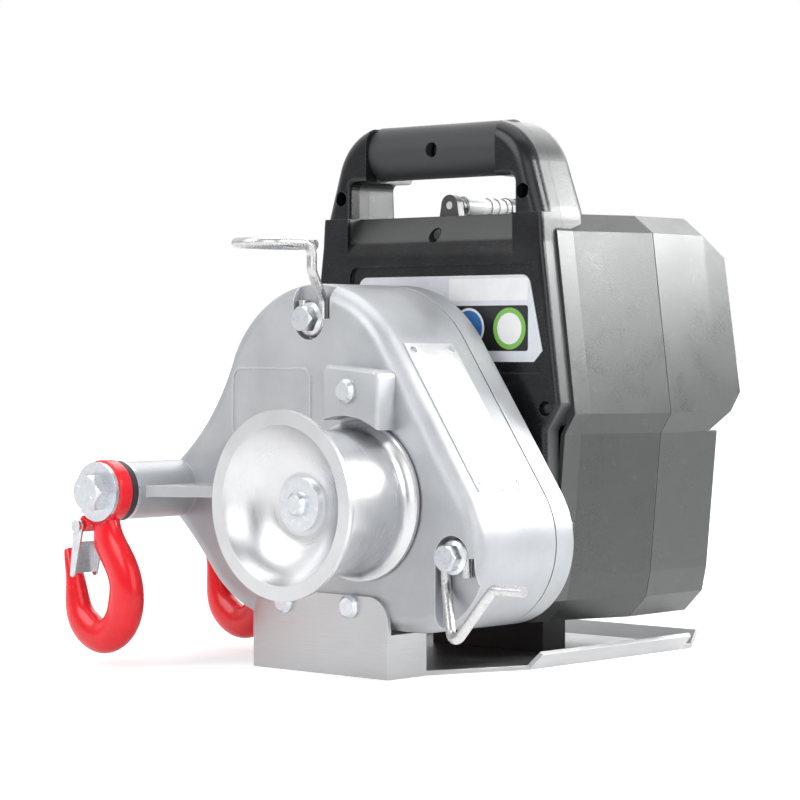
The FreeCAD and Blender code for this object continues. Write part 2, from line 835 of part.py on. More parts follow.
def gearbox_housing():
    front = neck_outline(0).extrude(Vector(0, size.neck_depth, 0))
    rear = body_outline(0, size.neck_depth).extrude(Vector(0, size.front_depth - size.neck_depth, 0))
    edges = [edge for edge in front.Edges if all(abs(v.Y) < TOUCHING for v in edge.Vertexes)]
    front = front.makeFillet(size.face_round, edges)
    wheel = first_gear_pitch + size.first_module + size.gear_room
    bulge = cylinder(wheel + size.wall, size.neck_depth, lay_x, size.face_round, lay_z)
    casting = front.fuse([rear, bulge]).removeSplitter()
    cavity = body_outline(size.wall, size.face_thickness).extrude(Vector(0, size.front_depth, 0))
    casting = casting.cut([cavity, cylinder(wheel, size.neck_depth, lay_x, size.face_thickness, lay_z)])
    deep = size.face_thickness
    drum_boss_end = size.seal_width + size.drum_bearing_width + size.end_gap
    bosses = [
        cylinder(size.drum_bearing_radius + size.boss_wall, drum_boss_end, drum_x, 0, drum_z),
        cylinder(size.lay_bearing_radius + size.boss_wall, deep + size.lay_bearing_width, lay_x, 0, lay_z),
        cylinder(size.guide_recess_radius, size.guide_recess_depth + size.guide_bolt_length,
                 size.upper_bolt_x, 0, size.upper_bolt_height),
        cylinder(size.guide_recess_radius, size.guide_recess_depth + size.guide_bolt_length,
                 size.lower_bolt_x, 0, size.lower_bolt_height),
        cylinder(size.case_boss_radius, size.stripper_screw_length, stripper_screw_x, 0,
                 stripper_screw_z),
    ]
    for x in (size.base_screw_left_x, size.base_screw_right_x):
        bosses.append(cylinder(size.case_boss_radius, deep + size.base_screw_length, x, 0,
                               size.base_screw_height))
    inside = body_outline(size.wall / 2, 0).extrude(Vector(0, size.front_depth, 0))
    for x, z in case_screw_places():
        boss = cylinder(size.case_boss_radius, size.case_screw_length, x,
                        size.front_depth - size.case_screw_length, z)
        bosses.append(boss.common(inside))
    flat = [boss.common(neck_outline(size.face_thickness / 2).extrude(Vector(0, size.front_depth, 0)))
            for boss in bosses]
    casting = casting.fuse(flat)
    bar = cylinder(size.bar_radius, size.bar_front + size.bar_rear, size.bar_x, -size.bar_front,
                   size.bar_height)
    half = size.rib_thickness / 2
    low = size.bar_height - half
    rib = Part.Face(Part.makePolygon([
        Vector(size.bar_x, 2 * size.inner_washer_thickness - size.bar_front, low),
        Vector(size.bar_x + size.bar_radius, 2 * size.inner_washer_thickness - size.bar_front, low),
        Vector(size.rib_end_x, 0, low),
        Vector(size.rib_end_x, size.face_thickness / 2, low),
        Vector(size.bar_x, size.face_thickness / 2, low),
        Vector(size.bar_x, 2 * size.inner_washer_thickness - size.bar_front, low),
    ])).extrude(Vector(0, 0, size.rib_thickness))
    casting = casting.fuse([bar, rib])
    casting = casting.fuse(badge_border())
    cuts = [
        cylinder(size.seal_radius + size.fit_clearance, size.seal_width + size.end_gap + size.overrun,
                 drum_x,
                 -size.overrun, drum_z),
        cylinder(size.drum_bearing_radius + size.fit_clearance, size.drum_bearing_width + size.overrun,
                 drum_x, size.seal_width + size.end_gap, drum_z),
        cylinder(size.lay_bearing_radius + size.fit_clearance, size.lay_bearing_width + size.overrun,
                 lay_x, deep, lay_z),
        guide_recess(size.upper_bolt_x, size.upper_bolt_height, size.upper_stem_x - size.upper_bolt_x
                     + 2 * size.guide_wire_radius, size.dome_radius),
        guide_recess(size.lower_bolt_x, size.lower_bolt_height, size.lower_vee_x - size.lower_bolt_x
                     + 2 * size.guide_wire_radius, -size.toe_radius),
        cylinder(size.guide_bolt_radius + size.fit_clearance,
                 size.guide_recess_depth + size.guide_bolt_length,
                 size.upper_bolt_x, -size.overrun, size.upper_bolt_height),
        cylinder(size.guide_bolt_radius + size.fit_clearance,
                 size.guide_recess_depth + size.guide_bolt_length,
                 size.lower_bolt_x, -size.overrun, size.lower_bolt_height),
        cylinder(size.stripper_screw_radius + size.fit_clearance,
                 size.stripper_screw_length - size.stripper_thickness + size.overrun, stripper_screw_x,
                 -size.overrun, stripper_screw_z),
    ]
    for x in (size.base_screw_left_x, size.base_screw_right_x):
        cuts.append(cylinder(size.base_screw_radius + size.fit_clearance,
                             size.base_screw_length + size.overrun, x,
                             -size.overrun, size.base_screw_height))
    for x, z in case_screw_places():
        cuts.append(cylinder(size.case_screw_radius + size.fit_clearance,
                             size.case_screw_length + size.overrun, x,
                             size.front_depth - size.case_screw_length + size.end_gap, z))
    bolt_hole = size.hook_bolt_radius + size.fit_clearance
    grip = size.hook_bolt_length - size.hook_washer_thickness - size.hook_eye_thickness
    grip = grip - size.friction_washer_thickness - size.inner_washer_thickness
    cuts.append(cylinder(bolt_hole, grip + size.end_gap, size.bar_x, -size.bar_front, size.bar_height))
    cuts.append(cylinder(bolt_hole, grip + size.end_gap, size.bar_x, size.bar_rear - grip - size.end_gap,
                         size.bar_height))
    return casting.cut(cuts)


def badge_border():
    """A thin raised line with rounded corners on the face, bare inside."""
    left = size.badge_x - size.badge_width / 2
    right = size.badge_x + size.badge_width / 2
    low = size.badge_height - size.badge_tall / 2
    high = size.badge_height + size.badge_tall / 2
    corner = size.badge_corner
    line_width = size.badge_line
    outer = rounded_polygon([(left, low, corner), (right, low, corner), (right, high, corner),
                             (left, high, corner)],
                            -size.badge_relief)
    inset = corner - line_width
    inner = rounded_polygon([(left + line_width, low + line_width, inset),
                             (right - line_width, low + line_width, inset),
                             (right - line_width, high - line_width, inset),
                             (left + line_width, high - line_width, inset)], -size.badge_relief)
    return outer.cut(inner).extrude(Vector(0, size.badge_relief + size.badge_line, 0))


def rear_casting():
    plate = body_outline(0, rear_start).extrude(Vector(0, size.rear_depth, 0))
    edges = [e for e in plate.Edges if all(abs(v.Y - rear_end) < TOUCHING for v in e.Vertexes)]
    plate = plate.makeFillet(size.rim_round, edges)
    plate = plate.cut(body_outline(size.wall, rear_start).extrude(Vector(0,
                                                                         size.rear_depth - size.rear_wall,
                                                                         0)))
    drum_boss_front = bearing_seat - size.drum_bearing_width
    lay_boss_front = bearing_seat - size.lay_bearing_width
    bosses = [
        cylinder(size.drum_bearing_radius + size.boss_wall, rear_end - drum_boss_front, drum_x,
                 drum_boss_front, drum_z),
        cylinder(size.lay_bearing_radius + size.boss_wall, rear_end - lay_boss_front, lay_x,
                 lay_boss_front, lay_z),
        cylinder(size.motor_boss_radius, size.panel_front - rear_start - size.rear_depth + size.rear_wall,
                 size.motor_x, rear_end - size.rear_wall, size.motor_height),
    ]
    inside = body_outline(size.wall / 2, rear_start).extrude(Vector(0, size.rear_depth, 0))
    for x, z in case_screw_places():
        bosses.append(cylinder(size.case_boss_radius, size.rear_depth, x, rear_start, z).common(inside))
    plate = plate.fuse(bosses)
    cuts = [
        cylinder(size.drum_bearing_radius + size.fit_clearance, size.drum_bearing_width + size.overrun,
                 drum_x, drum_boss_front - size.overrun, drum_z),
        cylinder(size.lay_bearing_radius + size.fit_clearance, size.lay_bearing_width + size.overrun, lay_x,
                 lay_boss_front - size.overrun, lay_z),
        cylinder(size.motor_bearing_radius + size.running_gap, size.panel_front, size.motor_x, rear_start,
                 size.motor_height),
    ]
    for x, z in case_screw_places():
        cuts.append(cylinder(size.case_screw_radius + size.fit_clearance, size.rear_depth, x, rear_start,
                             z))
        cuts.append(cylinder(size.button_head_radius + size.running_gap, size.panel_front, x, rear_end, z))
    return plate.cut(cuts)


def gasket():
    band = body_outline(size.gasket_inset, size.front_depth)
    band = band.cut(body_outline(size.wall, size.front_depth))
    holes = [cylinder(size.case_screw_radius + size.fit_clearance, size.rear_depth, x,
                      size.front_depth - size.overrun,
                      z) for x, z in case_screw_places()]
    return band.extrude(Vector(0, size.gasket_thickness, 0)).cut(holes)


def socket_screw(name, radius, length, head_radius, head_height, tip, x, z, points_back):
    """A screw along Y with a domed round head; the thread end is at tip."""
    way = 1 if points_back else -1
    seat = tip - way * length
    bevel = head_radius - head_height / 2
    points = [(0, tip), (radius, tip), (radius, seat), (head_radius, seat),
              (head_radius, seat - way * head_height / 2),
              (bevel, seat - way * head_height), (0, seat - way * head_height)]
    return turned(name, points, x, z)


solid("gearbox_housing", gearbox_housing())
solid("gearbox_rear_casting", rear_casting())
solid("gearbox_gasket", gasket())
group("casting_screws", [
    socket_screw("CaseScrew%d" % index, size.case_screw_radius,
                 size.case_screw_length + size.gasket_thickness
                 + size.rear_depth - size.end_gap * 2, size.button_head_radius, size.button_head_height,
                 size.front_depth - size.case_screw_length + size.end_gap * 2, x, z, False)
    for index, (x, z) in enumerate(case_screw_places())])

# Blank rating plate on the sloping side, with its rivets

slope = tangent_angle(*dome, *toe, 1)
slope_normal = Vector(math.cos(slope), 0, math.sin(slope))
slope_down = Vector(math.sin(slope), 0, -math.cos(slope))
slope_middle = (Vector(dome[0], 0, dome[1]) + slope_normal * dome[2]
                + Vector(toe[0], 0, toe[1]) + slope_normal * toe[2]) / 2


def on_slope(along, y, out):
    return slope_middle + slope_down * along + slope_normal * out + Vector(0, y, 0)


def rating_plate():
    half = size.rating_plate_length / 2
    front = size.rating_plate_front
    back = front + size.rating_plate_width
    corners = [on_slope(-half, front, 0), on_slope(half, front, 0), on_slope(half, back, 0),
               on_slope(-half, back, 0)]
    plate = Part.Face(Part.makePolygon(corners
                                       + corners[:1])).extrude(slope_normal * size.rating_plate_thickness)
    return plate


def rivets():
    heads = []
    half = size.rating_plate_length / 2 - size.rivet_inset
    front = size.rating_plate_front + size.rivet_inset
    back = size.rating_plate_front + size.rating_plate_width - size.rivet_inset
    for along in (-half, half):
        for y in (front, back):
            foot = on_slope(along, y, size.rating_plate_thickness)
            head = Part.makeCylinder(size.rivet_radius, size.rivet_height, foot, slope_normal)
            heads.append(head)
    return Part.makeCompound(heads)


solid("rating_plate", rating_plate())
solid("rating_plate_rivets", rivets())

# Drum and its shaft


def capstan_drum():
    back = -size.drum_gap
    front = back - size.drum_length
    bore = size.shaft_radius + size.fit_clearance
    floor = front + size.drum_dish_depth
    neck_back = back - size.drum_root_length
    neck_front = front + size.drum_rim_thickness + size.drum_flare_length
    rim = size.drum_rim_radius
    barrel = size.drum_radius
    root = size.drum_root_radius
    dish = size.drum_dish_radius
    pan = size.drum_dish_floor_radius

    def at(radius, y):
        return Vector(radius, y, 0)

    def curve(start, middle, end):
        return Part.Arc(start, middle, end).toShape()

    root_edge = back - size.drum_root_length * ROOT_LIP_SHARE
    root_middle = at(barrel + (root - barrel) * FLARE_RADIUS_SHARE,
                     neck_back + (root_edge - neck_back) * (1 - FLARE_LENGTH_SHARE))
    rim_back = front + size.drum_rim_thickness
    rim_middle = at(barrel + (rim - barrel) * FLARE_RADIUS_SHARE,
                    neck_front + (rim_back - neck_front) * (1 - FLARE_LENGTH_SHARE))
    dish_middle = at(pan + (dish - pan) * DISH_RADIUS_SHARE, front
                     + size.drum_dish_depth * DISH_DEPTH_SHARE)
    edges = [
        line(at(bore, back), at(root, back)),
        line(at(root, back), at(root, root_edge)),
        curve(at(root, root_edge), root_middle, at(barrel, neck_back)),
        line(at(barrel, neck_back), at(barrel, neck_front)),
        curve(at(barrel, neck_front), rim_middle, at(rim, rim_back)),
        line(at(rim, rim_back), at(rim, front)),
        line(at(rim, front), at(dish, front)),
        curve(at(dish, front), dish_middle, at(pan, floor)),
        line(at(pan, floor), at(bore, floor)),
        line(at(bore, floor), at(bore, back)),
    ]
    drum = Part.Face(Part.Wire(edges)).revolve(Vector(0, 0, 0), Vector(0, 1, 0), 360)
    drum.translate(Vector(drum_x, 0, drum_z))
    half = size.key_width / 2 + size.fit_clearance
    slot = box(-half, half, back - size.key_length, size.overrun, drum_z,
               drum_z + size.shaft_radius + half)
    return drum.cut(slot)


# Shares that place the mid points of the drum's flares and dish
ROOT_LIP_SHARE = 0.18
FLARE_RADIUS_SHARE = 0.30
FLARE_LENGTH_SHARE = 0.30
DISH_RADIUS_SHARE = 0.58
DISH_DEPTH_SHARE = 0.66

drum_front = -size.drum_gap - size.drum_length
dish_floor = drum_front + size.drum_dish_depth
key_half = size.key_width / 2
shaft_front = dish_floor + size.running_gap

solid("capstan_drum", capstan_drum())
washer_hole = size.drum_screw_radius + size.fit_clearance
keep("drum_washer", ring("DrumWasher", washer_hole, size.drum_washer_radius,
                         dish_floor - size.drum_washer_thickness,
                         size.drum_washer_thickness, drum_x, drum_z))
keep("drum_screw", socket_screw("DrumScrew", size.drum_screw_radius, size.drum_screw_length,
                                size.button_head_radius,
                                size.button_head_height, dish_floor - size.drum_washer_thickness
                                + size.drum_screw_length, drum_x, drum_z, True))


def drum_shaft():
    shaft = cylinder(size.shaft_radius, bearing_seat - size.running_gap - shaft_front, drum_x,
                     shaft_front, drum_z)
    hole = cylinder(size.drum_screw_radius + size.fit_clearance, size.drum_screw_length, drum_x,
                    shaft_front, drum_z)
    slots = []
    for front, length in ((-size.drum_gap - size.key_length, size.key_length),
                          (size.output_gear_front, size.output_gear_width)):
        slots.append(box(-key_half - size.fit_clearance, key_half + size.fit_clearance, front,
                         front + length,
                         drum_z + size.shaft_radius - key_half, drum_z + 2 * size.shaft_radius))
    return shaft.cut([hole] + slots)


solid("drum_shaft", drum_shaft())
key_bottom = drum_z + size.shaft_radius - key_half
key_tall = 2 * key_half
group("shaft_keys", [
    block("DrumKey", -key_half, -size.drum_gap - size.key_length, key_bottom, size.key_width,
          size.key_length,
          key_tall),
    block("GearKey", -key_half, size.output_gear_front, key_bottom, size.key_width,
          size.output_gear_width, key_tall),
])

# Gears and shafts

to_lay = math.atan2(lay_z - drum_z, lay_x - drum_x)
lay_to_motor = math.atan2(size.motor_height - lay_z, size.motor_x - lay_x)


def output_gear():
    wheel = webbed_gear(OUTPUT_GEAR_TEETH, size.second_module, drum_x, size.output_gear_front, drum_z,
                        size.output_gear_width, to_lay + math.pi / OUTPUT_GEAR_TEETH,
                        size.shaft_radius + size.fit_clearance)
    half = key_half + size.fit_clearance
    return wheel.cut(box(-half, half, size.output_gear_front - size.overrun,
                         size.output_gear_front + size.output_gear_width + size.overrun, drum_z,
                         drum_z + size.shaft_radius + half))


def layshaft():
    """Intermediate shaft with its pinion cut on it."""
    front = size.face_thickness + size.running_gap
    shaft = cylinder(size.layshaft_radius, rear_end - size.rear_wall - size.running_gap - front, lay_x,
                     front, lay_z)
    teeth = gear_face(LAY_PINION_TEETH, size.second_module, lay_x, size.output_gear_front - size.overrun,
                      lay_z,
                      to_lay + math.pi)
    return shaft.fuse(teeth.extrude(Vector(0, size.output_gear_width + 2 * size.overrun, 0)))


solid("output_gear", output_gear())
solid("intermediate_shaft", layshaft())
solid("intermediate_gear", webbed_gear(FIRST_GEAR_TEETH, size.first_module, lay_x,
                                       size.motor_pinion_front, lay_z,
                                       size.gear_width, lay_to_motor + math.pi / FIRST_GEAR_TEETH,
                                       size.layshaft_radius + size.fit_clearance))
solid("motor_pinion", gear(MOTOR_PINION_TEETH, size.first_module, size.motor_x,
                           size.motor_pinion_front - size.end_gap, size.motor_height,
                           size.gear_width + 2 * size.end_gap, lay_to_motor + math.pi,
                           size.motor_nose_radius + size.fit_clearance))
seal_bore = size.shaft_radius + size.fit_clearance
keep("drum_shaft_seal", ring("DrumShaftSeal", seal_bore, size.seal_radius, size.running_gap,
                             size.seal_width, drum_x, drum_z))


def bearing(radius, bore, front, width, x, z):
    """A ball bearing with a groove between its rings on both sides."""
    body = cylinder(radius, width, x, front, z).cut(cylinder(bore, width, x, front, z))
    depth = width * BEARING_GROOVE_SHARE
    for start in (front - size.overrun, front + width - depth):
        groove = cylinder(radius - size.bearing_race, depth + size.overrun, x, start, z)
        groove = groove.cut(cylinder(bore + size.bearing_race, depth + size.overrun, x, start, z))
        body = body.cut(groove)
    return body


# Depth of the groove between a bearing's rings, as a share of its width
BEARING_GROOVE_SHARE = 0.1

lay_bore = size.layshaft_radius + size.fit_clearance
solid("gearbox_bearings", Part.makeCompound([
    bearing(size.drum_bearing_radius, seal_bore, size.seal_width + size.end_gap, size.drum_bearing_width,
            drum_x, drum_z),
    bearing(size.drum_bearing_radius, seal_bore, bearing_seat - size.drum_bearing_width,
            size.drum_bearing_width, drum_x, drum_z),
    bearing(size.lay_bearing_radius, lay_bore, size.face_thickness, size.lay_bearing_width, lay_x, lay_z),
    bearing(size.lay_bearing_radius, lay_bore, bearing_seat - size.lay_bearing_width,
            size.lay_bearing_width, lay_x, lay_z),
]))

# Rope stripper on the face above the drum


def rope_stripper():
    left = size.stripper_left
    right = size.stripper_right
    reach = size.stripper_bore_radius
    top = size.stripper_top
    front = -size.stripper_thickness
    outline = rounded_polygon([
        (left, drum_z, 0), (right, drum_z, 0), (right, top - size.stripper_drop, size.stripper_round),
        (left, top, size.stripper_round)], front)
    lump = outline.extrude(Vector(0, size.stripper_thickness, 0))
    lump = lump.cut(cylinder(reach, size.stripper_thickness + 2 * size.overrun, drum_x,
                             front - size.overrun, drum_z))
    lump = max(lump.Solids, key=lambda piece: piece.BoundBox.ZMax)
    rim = [edge for edge in lump.Edges if edge.BoundBox.YMax < front + TOUCHING
           and edge.BoundBox.ZMax > drum_z + reach + TOUCHING]
    lump = lump.makeFillet(size.stripper_edge_round, rim)
    hole = cylinder(size.stripper_screw_radius + size.fit_clearance,
                    size.stripper_thickness + 2 * size.overrun,
                    stripper_screw_x, front - size.overrun, stripper_screw_z)
    return lump.cut(hole)


solid("rope_stripper", rope_stripper())
keep("rope_stripper_screw", socket_screw(
    "StripperScrew", size.stripper_screw_radius, size.stripper_screw_length, size.button_head_radius,
    size.button_head_height, size.stripper_screw_length - size.stripper_thickness, stripper_screw_x,
    stripper_screw_z, True))

# Bent wire rope guides and their flange bolts

wire_plane = size.guide_recess_depth - size.guide_wire_radius
eye_radius = size.guide_bolt_radius + size.guide_wire_radius + size.running_gap


def upper_guide():
    x = size.upper_bolt_x
    z = size.upper_bolt_height
    ring_x = size.upper_stem_x - size.upper_ring_radius
    ring_z = size.upper_ring_height
    stem_y = -size.upper_stem_reach
    bend = size.guide_bend_radius
    far = stem_y - size.upper_ring_radius * 2
    side = size.upper_ring_radius
    points = [
        Vector(x - eye_radius, wire_plane, z + eye_radius * EYE_LEG_SHARE),
        Vector(x - eye_radius, wire_plane, z - eye_radius),
        Vector(x + eye_radius, wire_plane, z - eye_radius),
        Vector(x + eye_radius, wire_plane, z + eye_radius * EYE_LEG_SHARE),
        Vector(size.upper_stem_x, stem_y, ring_z - size.upper_ring_radius * RING_STEM_SHARE),
        Vector(size.upper_stem_x, stem_y, ring_z),
        Vector(size.upper_stem_x, far, ring_z),
        Vector(ring_x - side, far, ring_z),
        Vector(ring_x - side, stem_y + side * RING_END_SHARE, ring_z),
        Vector(ring_x + side * RING_MOUTH_SHARE, stem_y + side * RING_END_SHARE, ring_z),
    ]
    radii = [eye_radius, eye_radius, bend, bend, bend, side * RING_BEND_SHARE, side * RING_BEND_SHARE,
             side * RING_BEND_SHARE]
    return bent_wire(points, radii, size.guide_wire_radius)


def lower_guide():
    x = size.lower_bolt_x
    z = size.lower_bolt_height
    bend = size.guide_bend_radius
    points = [
        Vector(x + eye_radius, wire_plane, z - eye_radius * EYE_LEG_SHARE),
        Vector(x + eye_radius, wire_plane, z + eye_radius),
        Vector(x - eye_radius, wire_plane, z + eye_radius),
        Vector(x - eye_radius, wire_plane, z - eye_radius * VEE_LEG_SHARE),
        Vector(size.lower_vee_x, -size.lower_vee_reach, size.lower_vee_height),
        Vector(size.lower_arm_x, -size.lower_arm_reach, size.lower_arm_height),
        Vector(size.lower_arm_x + size.lower_tip_length, -size.lower_arm_reach, size.lower_arm_height),
    ]
    radii = [eye_radius, eye_radius, bend, bend, bend]
    return bent_wire(points, radii, size.guide_wire_radius)


# Lengths of the legs of a guide's eye, in shares of the eye's radius
EYE_LEG_SHARE = 1.4
VEE_LEG_SHARE = 1.9
# Shares of the ring radius that shape the upper guide's ring and its stem
RING_STEM_SHARE = 0.9
RING_END_SHARE = 1.0
RING_MOUTH_SHARE = 0.2
RING_BEND_SHARE = 0.96


def guide_bolt(x, z):
    seat = wire_plane - size.guide_wire_radius
    flange_front = seat - size.guide_flange_thickness
    bolt = hexagon(size.guide_head_width, flange_front - size.guide_head_height, size.guide_head_height,
                   x, z)
    dome_cut = cylinder(size.guide_head_width * HEAD_CHAMFER_SHARE, size.guide_head_height, x,
                        flange_front - size.guide_head_height, z)
    cone = Part.makeCone(size.guide_head_width * HEAD_FACE_SHARE, size.guide_head_width * HEAD_CONE_SHARE,
                         size.guide_head_height, Vector(x, flange_front - size.guide_head_height, z),
                         Vector(0, 1, 0))
    bolt = bolt.common(dome_cut).common(cone)
    flange = Part.makeCone(size.guide_head_width / 2, size.guide_flange_radius, size.guide_flange_thickness,
                           Vector(x, flange_front, z), Vector(0, 1, 0))
    shank = cylinder(size.guide_bolt_radius, size.guide_bolt_length, x, seat, z)
    return bolt.fuse([flange, shank])


# Chamfered head of a hexagon bolt, as shares of the width across flats
HEAD_CHAMFER_SHARE = 0.56
HEAD_FACE_SHARE = 0.48
HEAD_CONE_SHARE = 0.8

solid("upper_rope_guide", upper_guide())
solid("lower_rope_guide", lower_guide())
solid("rope_guide_bolts", Part.makeCompound([
    guide_bolt(size.upper_bolt_x, size.upper_bolt_height),
    guide_bolt(size.lower_bolt_x, size.lower_bolt_height),
]))

# Hooks, one on each end of the bar

# Hook body from the eye to the tip: place across, place up and width, as shares of the hook's reach
HOOK_STATION_SHARES = (
    (-0.012, -0.150, 0.206), (0.012, -0.262, 0.226), (0.105, -0.410, 0.240), (0.172, -0.540, 0.250),
    (0.180, -0.655, 0.270), (0.150, -0.765, 0.262), (0.075, -0.852, 0.235), (-0.035, -0.893, 0.212),
    (-0.150, -0.855, 0.222), (-0.240, -0.765, 0.200), (-0.270, -0.655, 0.165), (-0.288, -0.545, 0.125),
    (-0.320, -0.440, 0.092), (-0.345, -0.370, 0.060),
)
# Thickness of the hook body at the same places, as shares of the full thickness
HOOK_THICKNESS_SHARES = (0.86, 0.88, 0.92, 0.98, 1.0, 1.0, 0.98, 0.96, 0.94, 0.90, 0.82, 0.72, 0.58, 0.40)
# Latch: pivot and lower end of a cheek, across and up, as shares of the hook's reach
LATCH_PIVOT_SHARES = (-0.150, -0.215)
LATCH_END_SHARES = (-0.205, -0.512)
# Stretch of the cheek's outer edge that carries the web
LATCH_WEB_SHARES = (0.35, 1.0)
LATCH_LUG_SHARES = (-0.06, -0.13)
LUG_RADIUS_SHARE = 0.038


def hook_stack(side):
    """Distances along Y of the pieces on one end of the bar, from the bar outwards."""
    end = size.bar_rear if side > 0 else -size.bar_front
    inner = end + side * size.inner_washer_thickness
    friction = inner + side * size.friction_washer_thickness
    bush = friction + side * (size.hook_eye_thickness + 2 * size.axial_gap)
    outer = bush + side * size.hook_washer_thickness
    return end, inner, friction, bush, outer


def hook_point(shares, y):
    return Vector(size.bar_x + size.hook_reach * shares[0], y,
                  size.bar_height + size.hook_reach * shares[1])


def hook_body(middle):
    sections = []
    count = len(HOOK_STATION_SHARES)
    for index in range(count):
        before = hook_point(HOOK_STATION_SHARES[max(index - 1, 0)], middle)
        after = hook_point(HOOK_STATION_SHARES[min(index + 1, count - 1)], middle)
        along = (after - before).normalize()
        across = along.cross(Vector(0, 1, 0))
        centre = hook_point(HOOK_STATION_SHARES[index], middle)
        half_width = size.hook_reach * HOOK_STATION_SHARES[index][2] / 2
        half_thick = size.hook_body_thickness * HOOK_THICKNESS_SHARES[index] / 2
        ring_points = []
        for step in range(SECTION_POINTS):
            angle = 2 * math.pi * step / SECTION_POINTS
            ring_points.append(centre + across * (half_width * math.cos(angle))
                               + Vector(0, half_thick * math.sin(angle), 0))
        curve = Part.BSplineCurve()
        curve.interpolate(ring_points, PeriodicFlag=True)
        sections.append(Part.Wire(curve.toShape()))
    body = Part.makeLoft(sections, True, False)
    eye = cylinder(size.hook_eye_radius, size.hook_eye_thickness, size.bar_x,
                   middle - size.hook_eye_thickness / 2,
                   size.bar_height)
    eye = eye.makeFillet(size.hook_eye_round,
                         [e for e in eye.Edges if e.Curve.TypeId == "Part::GeomCircle"])
    pivot = hook_point(LATCH_PIVOT_SHARES, middle)
    root = hook_point(LATCH_LUG_SHARES, middle)
    lug_radius = size.hook_reach * LUG_RADIUS_SHARE
    start = middle - size.hook_body_thickness / 2 + size.running_gap
    lug_face = circle_hull([(pivot.x, pivot.z, lug_radius), (root.x, root.z, lug_radius)], start)
    lug = lug_face.extrude(Vector(0, size.latch_lug_width, 0))
    pin_hole = cylinder(size.latch_pin_radius + size.fit_clearance, size.hook_body_thickness * 2, pivot.x,
                        middle - size.hook_body_thickness, pivot.z)
    bore = cylinder(size.hook_bolt_radius + size.hook_bushing_wall + size.fit_clearance,
                    size.hook_body_thickness * 2, size.bar_x, middle - size.hook_body_thickness,
                    size.bar_height)
    half = size.hook_eye_thickness / 2
    slab = size.hook_body_thickness
    hook = body.fuse([eye, lug])
    flat = size.hook_eye_radius + size.overrun
    for start in (middle - half - slab, middle + half):
        hook = hook.cut(cylinder(flat, slab, size.bar_x, start, size.bar_height))
    return hook.cut([pin_hole, bore])


SECTION_POINTS = 16
LATCH_SPRING_TURNS = 2


def hook_latch(middle):
    """Folded sheet: two narrow cheeks on the pin and a web that rests inside the tip."""
    inner = size.hook_body_thickness / 2 + size.running_gap
    outer = inner + size.latch_sheet
    pivot = hook_point(LATCH_PIVOT_SHARES, middle - outer)
    end = hook_point(LATCH_END_SHARES, middle - outer)
    head = (pivot.x, pivot.z, size.latch_lug_radius)
    foot = (end.x, end.z, size.latch_end_radius)
    pieces = []
    for start in (middle - outer, middle + inner):
        pieces.append(circle_hull([head, foot], start).extrude(Vector(0, size.latch_sheet, 0)))
    angle = tangent_angle(*head, *foot, -1)
    normal = Vector(math.cos(angle), 0, math.sin(angle))
    high = pivot + normal * size.latch_lug_radius
    low = end + normal * size.latch_end_radius
    corners = [high + (low - high) * share for share in LATCH_WEB_SHARES]
    corners += [corner - normal * size.latch_sheet for corner in reversed(corners)]
    web = Part.Face(Part.makePolygon(corners + corners[:1]))
    pieces.append(web.extrude(Vector(0, 2 * outer, 0)))
    hole = cylinder(size.latch_pin_radius + size.fit_clearance, 4 * outer, pivot.x, middle - 2 * outer,
                    pivot.z)
    latch = pieces[0].fuse(pieces[1:])
    return latch.removeSplitter().cut(hole)


def hook_bolt(side, seat):
    """Hexagon bolt with its head on the outer washer."""
    tall = size.hook_head_height
    front = seat - tall if side < 0 else seat
    head = hexagon(size.hook_head_width, front, tall, size.bar_x, size.bar_height)
    narrow = size.hook_head_width * HEAD_FACE_SHARE
    wide = size.hook_head_width * HEAD_CONE_SHARE
    foot = Vector(size.bar_x, seat + side * tall, size.bar_height)
    head = head.common(Part.makeCone(narrow, wide, tall, foot, Vector(0, -side, 0)))
    start = seat if side < 0 else seat - size.hook_bolt_length
    shank = cylinder(size.hook_bolt_radius, size.hook_bolt_length, size.bar_x, start, size.bar_height)
    return head.fuse(shank)


def between(low, high):
    """Lower end and length of a stretch along Y."""
    if float(low) < float(high):
        return low, high - low
    return high, low - high


def make_hook(name, side):
    end, inner, friction, bush, outer = hook_stack(side)
    title = name.capitalize()
    middle = (friction + bush) / 2
    solid(name + "_hook", hook_body(middle))
    solid(name + "_hook_latch", hook_latch(middle))
    pivot = hook_point(LATCH_PIVOT_SHARES, 0)
    half = size.hook_body_thickness / 2 + size.running_gap + size.latch_sheet + size.fit_clearance
    front = middle - half
    pin_radius = size.latch_pin_radius
    head_radius = size.latch_pin_head_radius
    head = size.latch_pin_head_height
    keep(name + "_hook_latch_pin", turned(title + "LatchPin", (
        (0, front - head), (head_radius, front - head), (head_radius, front), (pin_radius, front),
        (pin_radius, front + 2 * half), (head_radius, front + 2 * half),
        (head_radius, front + 2 * half + head),
        (0, front + 2 * half + head)), size.bar_x + size.hook_reach * LATCH_PIVOT_SHARES[0],
        size.bar_height + size.hook_reach * LATCH_PIVOT_SHARES[1]))
    lug_end = middle - size.hook_body_thickness / 2 + size.running_gap + size.latch_lug_width
    room = middle + size.hook_body_thickness / 2 + size.running_gap - lug_end
    spring_start = lug_end + size.running_gap + size.latch_spring_wire
    spring_length = room - 2 * (size.running_gap + size.latch_spring_wire)
    solid(name + "_hook_latch_spring", spring(size.latch_spring_wire, size.latch_spring_radius,
                                              LATCH_SPRING_TURNS,
                                              spring_length, (pivot.x, spring_start, pivot.z),
                                              Vector(0, 1, 0)))


